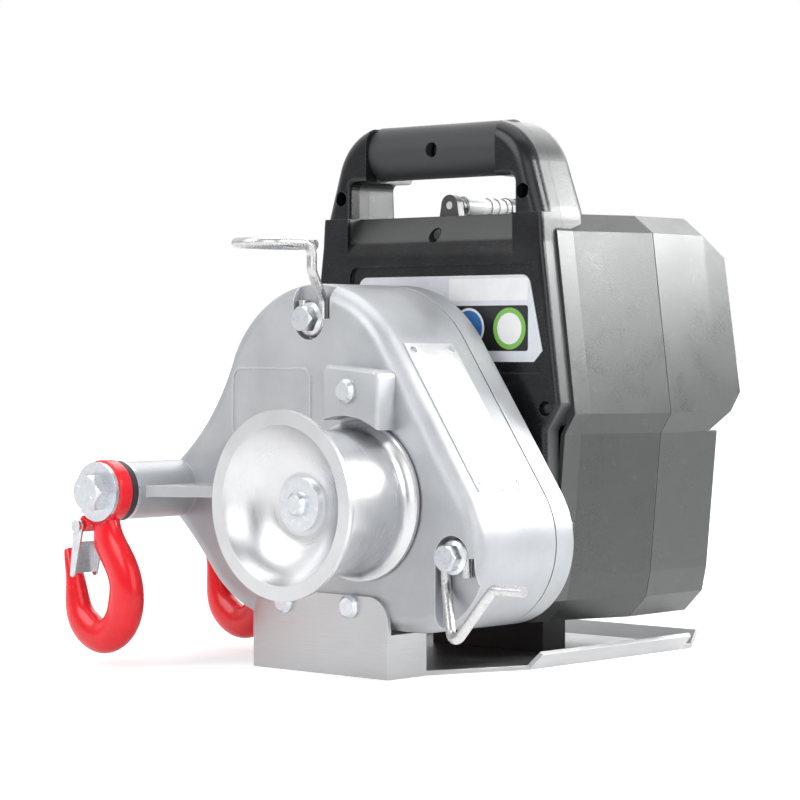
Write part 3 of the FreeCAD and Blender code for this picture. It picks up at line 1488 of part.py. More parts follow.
def hook_rings(name, inner_radius, outer_radius, first, second):
    """The same ring on both ends of the bar, between two places of the stack."""
    rings = []
    for title, side in (("Front", -1), ("Rear", 1)):
        stack = hook_stack(side)
        rings.append(ring(title + name.title().replace("_", ""), inner_radius, outer_radius,
                          *between(stack[first], stack[second]), size.bar_x, size.bar_height))
    group(name, rings)


bolt_clear = size.hook_bolt_radius + size.fit_clearance
hook_rings("hook_inner_washers", bolt_clear, size.inner_washer_radius, 0, 1)
hook_rings("hook_friction_washers", bolt_clear, size.hook_washer_radius, 1, 2)
hook_rings("hook_bushings", bolt_clear, size.hook_bolt_radius + size.hook_bushing_wall, 2, 3)
hook_rings("hook_outer_washers", bolt_clear, size.hook_washer_radius, 3, 4)
solid("hook_bolts", Part.makeCompound([hook_bolt(-1, hook_stack(-1)[4]), hook_bolt(1, hook_stack(1)[4])]))
make_hook("front", -1)
make_hook("rear", 1)

# Folded steel base plate, its screws and the block that carries the body

base_middle = (size.base_front_left + size.base_front_right) / 2
base_front_half = (size.base_front_right - size.base_front_left) / 2
base_side_half = size.base_side_right - base_middle


def lip(length, chamfer):
    """A turned-up edge at forty-five degrees along Y, with its upper corners cut away."""
    sheet_thick = size.base_sheet
    rise = size.base_lip
    run = sheet_thick * math.tan(math.pi / 8)
    across = sheet_thick / math.sqrt(2)
    profile = [Vector(0, 0, 0), Vector(rise, 0, rise), Vector(rise - across, 0, rise + across),
               Vector(-run, 0, sheet_thick), Vector(0, 0, 0)]
    edge = Part.Face(Part.makePolygon(profile)).extrude(Vector(0, length, 0))
    for end, way in ((0, 1), (length, -1)):
        wedge = Part.Face(Part.makePolygon([
            Vector(0, end, -size.overrun), Vector(2 * rise, end + way * chamfer, -size.overrun),
            Vector(2 * rise, end - way * size.overrun, -size.overrun),
            Vector(0, end - way * size.overrun, -size.overrun), Vector(0, end, -size.overrun)]))
        edge = edge.cut(wedge.extrude(Vector(0, 0, rise * 2 + size.overrun)))
    return edge


def base_plate():
    thick = size.base_sheet
    half = [(base_front_half, -thick), (base_front_half, size.base_wing_length),
            (base_side_half, size.base_side_start),
            (base_side_half, size.base_rear)]
    outline = [Vector(base_middle + w, y, 0) for w, y in half]
    outline += [Vector(base_middle - w, y, 0) for w, y in reversed(half)]
    plate = Part.Face(Part.makePolygon(outline + outline[:1])).extrude(Vector(0, 0, thick))
    corner = size.base_front_corner
    flange = rounded_polygon([
        (size.base_front_left, 0, 0), (size.base_front_right, 0, 0),
        (size.base_front_right, size.base_front_height, corner),
        (size.base_front_left, size.base_front_height, corner)], -thick).extrude(Vector(0, thick, 0))
    pieces = [flange]
    for low in (size.base_front_left, size.base_front_right - thick):
        pieces.append(box(low, low + thick, -thick, size.base_wing_length, 0, size.base_wing_height))
    right = lip(size.base_side_end - size.base_side_start, size.base_lip_chamfer)
    right.translate(Vector(size.base_side_right, size.base_side_start, 0))
    left = right.mirror(Vector(base_middle, 0, 0), Vector(1, 0, 0))
    back = lip(2 * base_side_half, size.base_lip_chamfer)
    back.rotate(Vector(0, 0, 0), Vector(0, 0, 1), 90)
    back.translate(Vector(base_middle + base_side_half, size.base_rear, 0))
    plate = plate.fuse(pieces + [right, left, back]).removeSplitter()
    holes = [cylinder(size.base_screw_radius + size.fit_clearance, 2 * size.base_screw_length, x,
                      -size.base_screw_length, size.base_screw_height)
             for x in (size.base_screw_left_x, size.base_screw_right_x)]
    return plate.cut(holes)


solid("base_plate", base_plate())
group("base_plate_screws", [
    socket_screw("BaseScrew%d" % index, size.base_screw_radius, size.base_screw_length,
                 size.button_head_radius,
                 size.button_head_height, size.base_screw_length - size.base_sheet, x,
                 size.base_screw_height, True)
    for index, x in enumerate((size.base_screw_left_x, size.base_screw_right_x))])
keep("support_block", block("SupportBlock", size.body_x - size.support_half_width, size.support_front,
                            size.base_sheet, 2 * size.support_half_width, size.support_depth,
                            size.shell_bottom - size.base_sheet))

# Cross-sections of the body behind the panel

panel_back = size.panel_front + size.panel_thickness


def body_section(half, y):
    """Closed outline through points on the right and their mirror images."""
    corners = [Vector(size.body_x + w, y, z) for w, z in half]
    corners += [Vector(size.body_x - w, y, z) for w, z in reversed(half)]
    return Part.makePolygon(corners + corners[:1])


def lower_half(narrow, lift, top):
    """Right side of the body below the step, drawn in by narrow and lifted at the bottom."""
    return [
        (size.seam_bottom_half - narrow, size.shell_bottom + lift),
        (size.seam_chin_half - narrow, size.shell_chin_height + lift),
        (size.seam_skirt_half - narrow, size.shell_skirt_height + lift),
        (size.seam_step_half - narrow, top),
    ]


def upper_half(narrow, drop, low):
    """Right side of the body above the step, drawn in by narrow and dropped at the top."""
    return [
        (size.seam_step_half - narrow, low),
        (size.seam_ridge_half - narrow, size.shell_ridge_height),
        (size.seam_shoulder_half - narrow, size.shell_shoulder_height - drop),
        (size.seam_top_half - narrow, size.shell_top - drop),
    ]


def shell_section(narrow, drop, y):
    """Whole cross-section, drawn in by narrow at the sides and by drop at top and bottom."""
    step = size.shell_step_height
    return body_section(lower_half(narrow, drop, step) + upper_half(narrow, drop, step)[1:], y)


def shell_block():
    """Outside of the middle shell from the panel to the seam, filled."""
    bend = size.shell_front_bend
    narrow = size.front_narrowing
    nose = Part.Face(shell_section(narrow, 0, panel_back)).extrude(Vector(0, bend - panel_back, 0))
    flare = Part.makeLoft([shell_section(narrow, 0, bend), shell_section(0, 0, size.seam)], True, True)
    return flare.fuse(nose)


# Front panel, label and handle

handle_front = size.panel_front + size.handle_set_back
handle_seam = handle_front + size.handle_front_thickness
handle_end = handle_seam + size.handle_rear_thickness
panel_top = size.shell_top + size.handle_rise
handle_gap_top = panel_top - size.handle_band
handle_screw_height = size.shell_top + size.handle_screw_rise
grip_height = panel_top - size.grip_radius
label_bottom = size.motor_height + size.label_rise
label_top = label_bottom + size.label_tall
handle_top = [
    (size.panel_shoulder_half, size.panel_shoulder_height, 0),
    (size.handle_foot_half, size.shell_top, size.handle_foot_round),
    (size.panel_top_half, panel_top, size.panel_top_round),
]


def panel_outline(y):
    half = [
        (size.panel_bottom_half, size.panel_bottom, size.panel_edge_round),
        (size.panel_skirt_half, size.panel_skirt_height, size.panel_edge_round),
        (size.panel_skirt_half, size.panel_step_height, size.panel_edge_round),
        (size.panel_ridge_half, size.panel_ridge_height, size.panel_edge_round),
    ]
    return rounded_polygon(mirrored_points(half + handle_top, size.body_x), y)


def handle_gap(front, back):
    """The finger opening below the grip."""
    corner = size.handle_gap_round
    face = rounded_polygon([
        (size.body_x - size.handle_gap_half, size.shell_top, 0),
        (size.body_x + size.handle_gap_half, size.shell_top, 0),
        (size.body_x + size.handle_gap_half, handle_gap_top, corner),
        (size.body_x - size.handle_gap_half, handle_gap_top, corner)], front)
    return face.extrude(Vector(0, back - front, 0))


def grip_core(front, back):
    """Round core below the grip sleeve, cut to the stretch between front and back."""
    reach = size.grip_half_length + size.grip_root
    core = cylinder(size.grip_core_radius, 2 * reach, size.body_x - reach, handle_seam, grip_height,
                    Vector(1, 0, 0))
    return core.common(box(size.body_x - size.panel_skirt_half, size.body_x + size.panel_skirt_half,
                           front, back, size.shell_top, panel_top))


def grip_room(front, back):
    """Space taken by the grip sleeve."""
    return box(size.body_x - size.grip_half_length - size.fit_clearance,
               size.body_x + size.grip_half_length + size.fit_clearance, front, back,
               handle_gap_top - size.handle_gap_round, panel_top + size.overrun)


def handle_rim(half, face, lean, inner):
    """Edges of the face that stands at y = face at the top and leans, round the opening or outside."""
    edges = []
    reach = size.handle_gap_half + TOUCHING
    for edge in half.Edges:
        span = edge.BoundBox
        off = [abs(spot.Y - face - lean * (panel_top - spot.Z)) for spot in edge.Vertexes]
        at_gap = span.ZMax < handle_gap_top + TOUCHING
        at_gap = at_gap and abs(span.XMin - size.body_x) < reach and abs(span.XMax - size.body_x) < reach
        if max(off) < size.fit_clearance and span.ZMax > size.shell_top + TOUCHING and at_gap == inner:
            edges.append(edge)
    return edges


def handle_half(front, back, face, spread):
    """One half of the handle, outer edges rounded, its feet on the shell deeper by spread than its top."""
    lean = spread / size.handle_rise
    low = size.panel_shoulder_height - size.overrun
    end = back + lean * (panel_top - low)
    outline = rounded_polygon(mirrored_points(handle_top, size.body_x), front)
    half = outline.extrude(Vector(0, end - front + size.overrun, 0))
    left = size.body_x - size.panel_ridge_half
    high = panel_top + size.overrun
    side = [Vector(left, front - size.overrun, low), Vector(left, end, low),
            Vector(left, back - lean * size.overrun, high), Vector(left, front - size.overrun, high)]
    side = Part.Face(Part.makePolygon(side + side[:1]))
    half = half.common(side.extrude(Vector(2 * size.panel_ridge_half, 0, 0)))
    half = half.cut(handle_gap(front - size.overrun, end + size.overrun))
    half = half.makeFillet(size.handle_round, handle_rim(half, face, lean, False))
    half = half.makeFillet(size.handle_gap_fillet, handle_rim(half, face, lean, True))
    half = half.cut([grip_room(front - size.overrun, end + size.overrun), shell_block()])
    return half.fuse(grip_core(front, back))


def brow_cut():
    """Sloping cut along the panel's upper edge between the arms, rounded into the face."""
    front = size.panel_front
    left = size.body_x - size.handle_gap_half
    back = panel_back - size.brow_edge
    top = size.shell_top
    turn = math.atan2(back - front, top - size.brow_height)
    radius = size.brow_round
    reach = radius * math.tan(turn / 2)
    low = size.brow_height - reach
    corners = [
        Vector(left, front + reach * math.sin(turn), size.brow_height + reach * math.cos(turn)),
        Vector(left, back, top), Vector(left, back, top + size.overrun),
        Vector(left, front - size.overrun, top + size.overrun), Vector(left, front - size.overrun, low),
        Vector(left, front, low)]
    middle = Vector(left, front + radius - radius * math.cos(turn / 2), low + radius * math.sin(turn / 2))
    edges = [line(here, there) for here, there in zip(corners, corners[1:])]
    edges.append(Part.Arc(corners[-1], middle, corners[0]).toShape())
    return Part.Face(Part.Wire(edges)).extrude(Vector(2 * size.handle_gap_half, 0, 0))


def label_outline(grow, y):
    corner = size.label_corner
    return rounded_polygon([
        (size.label_left - grow, label_bottom - grow, corner),
        (size.label_lower_right - corner + grow, label_bottom - grow, 0),
        (size.label_lower_right + grow, label_bottom + corner - grow, 0),
        (size.label_right + grow, label_top + grow, corner),
        (size.label_left - grow, label_top + grow, corner)], y)


# Places of the panel screws and the depth where each head sits: grip and arms, then shell

handle_seat = handle_seam - size.handle_screw_web
shell_seat = size.panel_front + size.panel_screw_depth
handle_screw_places = (
    (size.body_x, grip_height, handle_seat),
    (size.body_x - size.handle_screw_half, handle_screw_height, handle_seat),
    (size.body_x + size.handle_screw_half, handle_screw_height, handle_seat),
)
shell_screw_places = (
    (size.body_x - size.panel_screw_half, size.panel_screw_height, shell_seat),
    (size.body_x + size.panel_screw_half, size.panel_screw_height, shell_seat),
    (size.body_x + size.brow_screw_offset, size.shell_top - size.brow_screw_drop,
     panel_back - size.brow_screw_web),
)


def screw_cuts():
    """Wells and holes for the panel screws."""
    front = size.panel_front - size.overrun
    cuts = []
    for x, z, seat in handle_screw_places + shell_screw_places:
        cuts.append(cylinder(size.panel_screw_well, seat - front, x, front, z))
        cuts.append(cylinder(size.panel_screw_radius + size.fit_clearance,
                             seat - front + size.panel_screw_length + size.end_gap, x, front, z))
    return cuts


def front_panel():
    front = size.panel_front
    panel = panel_outline(front).extrude(Vector(0, size.panel_thickness, 0))
    rim = [edge for edge in panel.Edges if edge.BoundBox.YMax < front + TOUCHING]
    panel = panel.makeFillet(size.panel_face_round, rim)
    upper = box(size.body_x - size.panel_ridge_half, size.body_x + size.panel_ridge_half,
                front - size.overrun, panel_back + size.overrun, size.shell_top,
                panel_top + size.overrun)
    panel = panel.cut(upper).fuse(handle_half(handle_front, handle_seam, handle_front, 0))
    recess = label_outline(size.label_margin, front - size.overrun)
    cuts = [brow_cut(), recess.extrude(Vector(0, size.label_recess + size.overrun, 0))]
    cuts.append(cylinder(size.end_plate_radius + size.fit_clearance,
                         size.panel_thickness + 2 * size.overrun,
                         size.motor_x, front - size.overrun, size.motor_height))
    return panel.cut(cuts + screw_cuts()).removeSplitter()


def grip_sleeve():
    length = 2 * size.grip_half_length
    start = size.body_x - size.grip_half_length
    axis = Vector(1, 0, 0)
    sleeve = cylinder(size.grip_radius, length, start, handle_seam, grip_height, axis)
    sleeve = sleeve.cut(cylinder(size.grip_core_radius + size.fit_clearance, length + 2 * size.overrun,
                                 start - size.overrun, handle_seam, grip_height, axis))
    return sleeve.cut(cylinder(size.panel_screw_well, size.grip_radius + size.overrun, size.body_x,
                               handle_seam - size.grip_radius - size.overrun, grip_height))


solid("front_panel", front_panel())
label_floor = size.panel_front + size.label_recess
label_sheet = label_outline(0, label_floor - size.label_thickness)
label_sheet = label_sheet.extrude(Vector(0, size.label_thickness, 0))
solid("label", label_sheet.cut(cylinder(size.motor_boss_radius, size.panel_thickness, size.motor_x,
                                        size.panel_front, size.motor_height)))
rear_half = handle_half(handle_seam, handle_end, handle_end, size.handle_foot_depth)
solid("handle_rear_half", rear_half.cut(screw_cuts()))
solid("handle_grip_sleeve", grip_sleeve())
group("panel_screws", [
    socket_screw("PanelScrew%d" % index, size.panel_screw_radius, size.panel_screw_length,
                 size.panel_head_radius, size.panel_head_height, seat + size.panel_screw_length, x, z, True)
    for index, (x, z, seat) in enumerate(handle_screw_places + shell_screw_places)])

# Middle shell and rear cover

hinge_x = size.body_x - size.seam_ridge_half - size.hinge_out
hinge_y = size.seam + size.seam_gap / 2
latch_z = size.shell_top + size.latch_ear_height
shell_floor = size.shell_bottom + size.shell_wall
bulkhead_back = bulkhead_front + size.bulkhead_thickness
latch_front_ear = panel_back + size.latch_front_inset
latch_rear_ear = size.seam - size.latch_rear_inset


def hinge_lug(low, tall, front, back):
    """A knuckle round the hinge axis and the tab that joins it to the wall."""
    knuckle = Part.makeCylinder(size.hinge_knuckle_radius, tall, Vector(hinge_x, hinge_y, low))
    tab = box(hinge_x, size.body_x - size.seam_skirt_half, front, back, low, low + tall)
    return knuckle.fuse(tab)


def hinge_bore():
    tall = size.hinge_knuckle_length * 3 + 2 * size.overrun
    return Part.makeCylinder(size.hinge_pin_radius + size.fit_clearance, tall,
                             Vector(hinge_x, hinge_y, size.hinge_height - tall / 2))


def arch(front, thick, bore):
    """A small arched ear on top of the body, wider at its foot, with a hole along Y."""
    x = size.body_x
    reach = size.latch_ear_radius
    foot = size.latch_ear_foot
    low = size.shell_top - size.shell_wall / 2
    sides = rounded_polygon([(x - foot, low, 0), (x + foot, low, 0), (x + reach, latch_z, 0),
                             (x - reach, latch_z, 0)], front)
    ear = cylinder(reach, thick, x, front, latch_z).fuse(sides.extrude(Vector(0, thick, 0)))
    return ear.cut(cylinder(bore, thick + 2 * size.overrun, x, front - size.overrun, latch_z))


def switch_plane():
    """X of the outer face of the switch boss on the left side."""
    return size.body_x - size.seam_ridge_half + size.switch_set_in


switch_y = (size.shell_front_bend + size.seam) / 2
pivot_x = switch_plane() + size.rocker_depth * 2 / 5


def battery_shelf():
    """Shelf below the battery, moulded with the shell behind the bulkhead."""
    half = size.battery_width / 2
    shelf = box(size.body_x - half, size.body_x + half, bulkhead_back, size.seam + size.cradle_reach,
                size.battery_bottom - size.bulkhead_thickness, size.battery_bottom)
    back = box(size.body_x - half, size.body_x + half, bulkhead_back,
               bulkhead_back + size.bulkhead_thickness,
               shell_floor, size.battery_bottom)
    return shelf.fuse(back)


def middle_shell():
    narrow = size.front_narrowing + size.shell_wall
    wall = size.shell_wall
    front = panel_back
    bend = size.shell_front_bend
    seam = size.seam
    outer = shell_block()
    room_rear = Part.makeLoft([shell_section(narrow, wall, bend), shell_section(wall, wall, seam)], True,
                              True)
    room_front = Part.Face(shell_section(narrow, wall, front)).extrude(Vector(0, bend - front, 0))
    knuckle = size.hinge_knuckle_length
    low = size.hinge_height - knuckle * 3 / 2
    tab_front = hinge_y - size.hinge_knuckle_radius
    lugs = [hinge_lug(low, knuckle - size.hinge_gap, tab_front, seam),
            hinge_lug(low + 2 * knuckle + size.hinge_gap, knuckle - size.hinge_gap, tab_front, seam)]
    plane = switch_plane()
    boss = box(plane, plane + size.switch_boss_depth, switch_y - size.switch_width / 2,
               switch_y + size.switch_width / 2, size.switch_height - size.switch_tall / 2,
               size.switch_height + size.switch_tall / 2)
    shell = outer.fuse(lugs).cut(room_rear.fuse(room_front))
    shell = shell.fuse(boss)
    slab = box(hinge_x, size.body_x + size.seam_ridge_half, bulkhead_front, bulkhead_back,
               size.shell_bottom, size.shell_top)
    shell = shell.fuse(slab.common(outer))
    ears = [arch(latch_front_ear, size.latch_ear_thickness, size.latch_rod_radius + size.fit_clearance),
            arch(latch_rear_ear, size.latch_ear_thickness, size.latch_nose_radius + size.fit_clearance)]
    screw_bosses = []
    for x, z, seat in shell_screw_places:
        screw_bosses.append(cylinder(size.shell_boss_radius, size.panel_screw_length, x, front, z))
    shell = shell.fuse(ears + screw_bosses + [battery_shelf()])
    pocket_half = size.rocker_tall / 2 + size.rocker_gap
    pocket = box(plane - size.overrun, plane + size.rocker_depth + size.rocker_gap,
                 switch_y - size.rocker_width / 2 - size.running_gap,
                 switch_y + size.rocker_width / 2 + size.running_gap,
                 size.switch_height - pocket_half, size.switch_height + pocket_half)
    pin_hole = cylinder(size.rocker_pivot_radius + size.fit_clearance,
                        size.rocker_pin_length + size.fit_clearance, pivot_x,
                        switch_y - size.rocker_pin_length / 2 - size.fit_clearance / 2, size.switch_height)
    swing = Part.makeCylinder(size.hinge_knuckle_radius + size.running_gap, knuckle + 2 * size.hinge_gap,
                              Vector(hinge_x, hinge_y, low + knuckle - size.hinge_gap))
    return shell.cut([hinge_bore(), pocket, pin_hole, swing] + screw_cuts())


# Shares of the rear narrowing reached at the upper bend, the upper fall and the lower bend of the cover
COVER_TAPER_SHARES = (0.05, 0.08, 0.12)


def cover_notch(grow):
    """Wedge under the overhanging rear edge of the cover's upper part, grown on every side by grow."""
    slope = size.cover_notch_rise / size.cover_notch_run
    low = size.shell_step_height - grow
    lead = grow * (1 + math.sqrt(1 + slope * slope)) / slope
    front = size.seam + size.cover_notch_depth - lead
    end = size.seam + size.cover_depth + size.overrun
    half = size.seam_ridge_half + size.overrun
    left = size.body_x - half
    corners = [Vector(left, front, low), Vector(left, end, low),
               Vector(left, end, low + (end - front) * slope)]
    return Part.Face(Part.makePolygon(corners + corners[:1])).extrude(Vector(2 * half, 0, 0))


def cover_block(start, inset):
    """The rear cover filled, drawn in on every side but the front by inset."""
    narrow = size.rear_narrowing
    bend, fall, low_bend = [narrow * share + inset for share in COVER_TAPER_SHARES]
    step = size.shell_step_height + inset
    upper = [
        body_section(upper_half(inset, inset, step), start),
        body_section(upper_half(bend, inset, step), size.seam + size.cover_bend_depth),
        body_section(upper_half(fall, size.cover_drop + inset, step), size.seam + size.cover_fall_depth),
        body_section(upper_half(narrow + inset, size.cover_drop + narrow + inset, step),
                     size.seam + size.cover_depth - inset),
    ]
    lower = [
        body_section(lower_half(inset, inset, step), start),
        body_section(lower_half(low_bend, inset, step), size.seam + size.cover_low_bend_depth),
        body_section(lower_half(narrow + inset, size.cover_low_lift + inset, step),
                     size.seam + size.cover_low_depth - inset),
    ]
    return Part.makeLoft(upper, True, True).fuse(Part.makeLoft(lower, True, True)).cut(cover_notch(inset))


def rear_cover():
    start = size.seam + size.seam_gap
    knuckle = size.hinge_knuckle_length
    low = size.hinge_height - knuckle / 2
    lug = hinge_lug(low, knuckle, start, hinge_y + size.hinge_knuckle_radius)
    cover = cover_block(start, 0).fuse(lug).cut(cover_block(start, size.shell_wall))
    cover = cover.fuse(arch(start, size.keeper_thickness, size.latch_nose_radius + size.running_gap))
    return cover.cut(hinge_bore())


solid("middle_shell", middle_shell())
solid("rear_cover", rear_cover())
pin_tall = size.hinge_knuckle_length * 3
hinge_pin = doc.addObject("Part::Cylinder", "HingePin")
bind(hinge_pin, Radius=size.hinge_pin_radius, Height=pin_tall)
keep("hinge_pin", place(hinge_pin, hinge_x, hinge_y, size.hinge_height - pin_tall / 2))

# Cover latch: a sprung sleeve on a rod, along the top of the body

# Share of the room between the ears that the sleeve takes
LATCH_SLEEVE_SHARE = 0.5333
ear_back = latch_front_ear + size.latch_ear_thickness
sleeve_length = (latch_rear_ear - ear_back) * LATCH_SLEEVE_SHARE
sleeve_end = latch_rear_ear - size.fit_clearance
sleeve_start = sleeve_end - sleeve_length
rod_length = sleeve_start - latch_front_ear + sleeve_length / 3
keep("latch_rod", rod("LatchRod", size.latch_rod_radius, latch_front_ear, rod_length, size.body_x, latch_z))
sleeve_radius = size.latch_sleeve_radius
groove_radius = sleeve_radius - size.latch_groove_depth
rib = sleeve_length / 7
sleeve_bore = size.latch_rod_radius + size.fit_clearance
skirt_bore = size.latch_coil_radius + size.latch_coil_wire + size.running_gap
skirt_start = ear_back + size.latch_travel + size.running_gap
sleeve_points = [(skirt_bore, skirt_start), (sleeve_radius, skirt_start)]
for step in (1, 3, 5):
    sleeve_points.append((sleeve_radius, sleeve_start + rib * step))
    sleeve_points.append((groove_radius, sleeve_start + rib * step))
    sleeve_points.append((groove_radius, sleeve_start + rib * (step + 1)))
    sleeve_points.append((sleeve_radius, sleeve_start + rib * (step + 1)))
sleeve_points.append((sleeve_radius, sleeve_end))
sleeve_points.append((size.latch_nose_radius, sleeve_end))
sleeve_points.append((size.latch_nose_radius, sleeve_end + size.latch_nose_length))
sleeve_points.append((0, sleeve_end + size.latch_nose_length))
sleeve_points.append((0, sleeve_end - rib / 2))
sleeve_points.append((sleeve_bore, sleeve_end - rib / 2))
sleeve_points.append((sleeve_bore, sleeve_start))
sleeve_points.append((skirt_bore, sleeve_start))
keep("latch_sleeve", turned("LatchSleeve", sleeve_points, size.body_x, latch_z))
coil_start = ear_back + size.latch_coil_wire + size.running_gap
coil_length = sleeve_start - size.latch_coil_wire - size.running_gap - coil_start
coil_turns = max(1, round(coil_length / size.latch_coil_pitch))
solid("latch_spring", spring(size.latch_coil_wire, size.latch_coil_radius, coil_turns, coil_length,
                             (size.body_x, coil_start, latch_z), Vector(0, 1, 0)))

# Motor


def motor_stator():
    """Stator ring with slots along its bore."""
    ring_shape = cylinder(size.stator_radius, stator_length, size.motor_x, plate_end, size.motor_height)
    ring_shape = ring_shape.cut(cylinder(size.stator_bore_radius, stator_length, size.motor_x, plate_end,
                                         size.motor_height))
    slots = []
    for index in range(STATOR_SLOTS):
        slot = box(size.stator_bore_radius - size.overrun, size.stator_radius - size.gear_rim,
                   plate_end - size.overrun, stator_end + size.overrun, -size.gear_rim / 2,
                   size.gear_rim / 2)
        slot.rotate(Vector(0, 0, 0), Vector(0, 1, 0), 360 * index / STATOR_SLOTS)
        slot.translate(Vector(size.motor_x, 0, size.motor_height))
        slots.append(slot)
    return ring_shape.cut(slots)


def motor_fan():
    """Flat-bladed fan on the rear end of the motor shaft."""
    front = bell_end + size.running_gap
    fan = cylinder(size.fan_hub_radius, size.fan_thickness, size.motor_x, front, size.motor_height)
    blades = []
    for index in range(FAN_BLADES):
        blade = box(0, size.fan_radius, front, front + size.fan_thickness, -size.fan_blade_width / 2,
                    size.fan_blade_width / 2)
        blade.rotate(Vector(0, 0, 0), Vector(0, 1, 0), 360 * index / FAN_BLADES)
        blade.translate(Vector(size.motor_x, 0, size.motor_height))
        blades.append(blade)
    fan = fan.fuse(blades)
    return fan.cut(cylinder(motor_bore, size.fan_thickness + 2 * size.overrun, size.motor_x,
                            front - size.overrun,
                            size.motor_height))


STATOR_SLOTS = 9
FAN_BLADES = 9

keep("motor_end_plate", ring("MotorEndPlate", pocket_radius, size.end_plate_radius, size.panel_front,
                             size.end_plate_thickness, size.motor_x, size.motor_height))
solid("motor_stator", motor_stator())
keep("motor_rear_bell", turned("MotorRearBell", (
    (pocket_radius, stator_end), (size.stator_radius, stator_end), (size.stator_radius, bell_end),
    (pocket_radius, bell_end)), size.motor_x, size.motor_height))
keep("motor_rotor", ring("MotorRotor", motor_bore, size.rotor_radius, plate_end + size.end_gap,
                         stator_length - 2 * size.end_gap, size.motor_x, size.motor_height))
nose_front = size.motor_pinion_front - size.end_gap
nose_end = size.motor_pinion_front + size.gear_width + size.end_gap
shaft_end = bell_end + size.running_gap + size.fan_thickness
keep("motor_shaft", turned("MotorShaft", (
    (0, nose_front), (size.motor_nose_radius, nose_front), (size.motor_nose_radius, nose_end),
    (size.motor_shaft_radius, nose_end), (size.motor_shaft_radius, shaft_end), (0, shaft_end)),
    size.motor_x, size.motor_height))
solid("motor_bearings", Part.makeCompound([
    bearing(size.motor_bearing_radius, motor_bore, size.panel_front, size.motor_bearing_width, size.motor_x,
            size.motor_height),
    bearing(size.motor_bearing_radius, motor_bore, bell_end - size.motor_bearing_width,
            size.motor_bearing_width, size.motor_x, size.motor_height),
]))
solid("motor_fan", motor_fan())

# Controller, battery and its socket

keep("controller", block("Controller", size.body_x - size.controller_width / 2, size.controller_front,
                         shell_floor,
                         size.controller_width, bulkhead_front - size.controller_front
                         - size.controller_gap,
                         size.controller_tall))
battery_front = bulkhead_back + size.socket_depth


def battery_pack():
    low = size.battery_bottom
    half = size.battery_width / 2
    corner = size.battery_round
    face = rounded_polygon([
        (size.body_x - half, low, corner), (size.body_x + half, low, corner),
        (size.body_x + half, low + size.battery_tall, corner),
        (size.body_x - half, low + size.battery_tall, corner)], battery_front)
    return face.extrude(Vector(0, size.battery_depth, 0))


solid("battery_pack", battery_pack())
keep("battery_socket", block("BatterySocket", size.body_x - size.socket_width / 2, bulkhead_back,
                             size.battery_bottom + size.battery_tall / 2, size.socket_width,
                             size.socket_depth, size.socket_tall))

# Rocker switch on the left side


def rocker():
    """Rocker with two sloping faces and moulded pivots along Y."""
    half = size.rocker_tall / 2
    depth = size.rocker_depth
    front = switch_y - size.rocker_width / 2
    z = size.switch_height
    outer = pivot_x - depth * ROCKER_RISE_SHARE
    valley = pivot_x - depth * ROCKER_VALLEY_SHARE
    inner = pivot_x + depth * ROCKER_DEPTH_SHARE
    corners = [Vector(outer, front, z - half), Vector(valley, front, z), Vector(outer, front, z + half),
               Vector(inner, front, z + half * ROCKER_FOOT_SHARE),
               Vector(inner, front, z - half * ROCKER_FOOT_SHARE)]
    lump = Part.Face(Part.makePolygon(corners + corners[:1])).extrude(Vector(0, size.rocker_width, 0))
    return lump.fuse(cylinder(size.rocker_pivot_radius, size.rocker_pin_length, pivot_x,
                              switch_y - size.rocker_pin_length / 2, z))


# Shares of its depth and height that shape the rocker
ROCKER_RISE_SHARE = 0.62
ROCKER_VALLEY_SHARE = 0.40
ROCKER_DEPTH_SHARE = 0.35
ROCKER_FOOT_SHARE = 0.8

solid("switch_rocker", rocker())
doc.recompute()

# Check every piece and write it

for thing in doc.Objects:
    if "Invalid" in thing.State or "Error" in thing.State:
        raise RuntimeError("not solved: " + thing.Label)

os.makedirs("parts", exist_ok=True)
for name, thing in nodes.items():
    shape = thing.Shape
    if shape.isNull() or not shape.isValid() or not shape.Solids:
        raise RuntimeError("bad shape: " + name)
    shape.exportStep("parts/" + name + ".step")
    span = shape.BoundBox
    print("%-30s solids %d volume %.1f x %.1f %.1f y %.1f %.1f z %.1f %.1f" % (
        name, len(shape.Solids), shape.Volume, span.XMin, span.XMax, span.YMin, span.YMax, span.ZMin,
        span.ZMax))
print("pieces", len(nodes))
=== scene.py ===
import json
import math

import bmesh
import bpy
from mathutils import Matrix, Vector


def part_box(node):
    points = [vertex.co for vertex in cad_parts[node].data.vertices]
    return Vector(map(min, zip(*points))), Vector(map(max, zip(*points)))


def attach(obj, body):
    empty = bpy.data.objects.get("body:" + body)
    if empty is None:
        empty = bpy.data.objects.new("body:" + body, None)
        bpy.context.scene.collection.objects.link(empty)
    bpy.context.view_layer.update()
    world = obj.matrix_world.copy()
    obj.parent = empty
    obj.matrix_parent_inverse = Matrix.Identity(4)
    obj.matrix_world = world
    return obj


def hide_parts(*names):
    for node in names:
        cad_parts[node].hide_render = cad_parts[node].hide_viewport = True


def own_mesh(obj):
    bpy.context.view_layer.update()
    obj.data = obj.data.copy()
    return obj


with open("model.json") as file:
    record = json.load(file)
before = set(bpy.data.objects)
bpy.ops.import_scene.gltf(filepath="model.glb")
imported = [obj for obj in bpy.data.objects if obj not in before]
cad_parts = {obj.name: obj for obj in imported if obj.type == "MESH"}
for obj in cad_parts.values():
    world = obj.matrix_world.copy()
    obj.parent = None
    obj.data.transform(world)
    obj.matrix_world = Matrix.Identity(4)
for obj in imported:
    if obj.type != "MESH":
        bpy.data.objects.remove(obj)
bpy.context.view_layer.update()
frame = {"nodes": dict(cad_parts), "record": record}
scene = bpy.context.scene
MM = 0.001


# Shader helpers

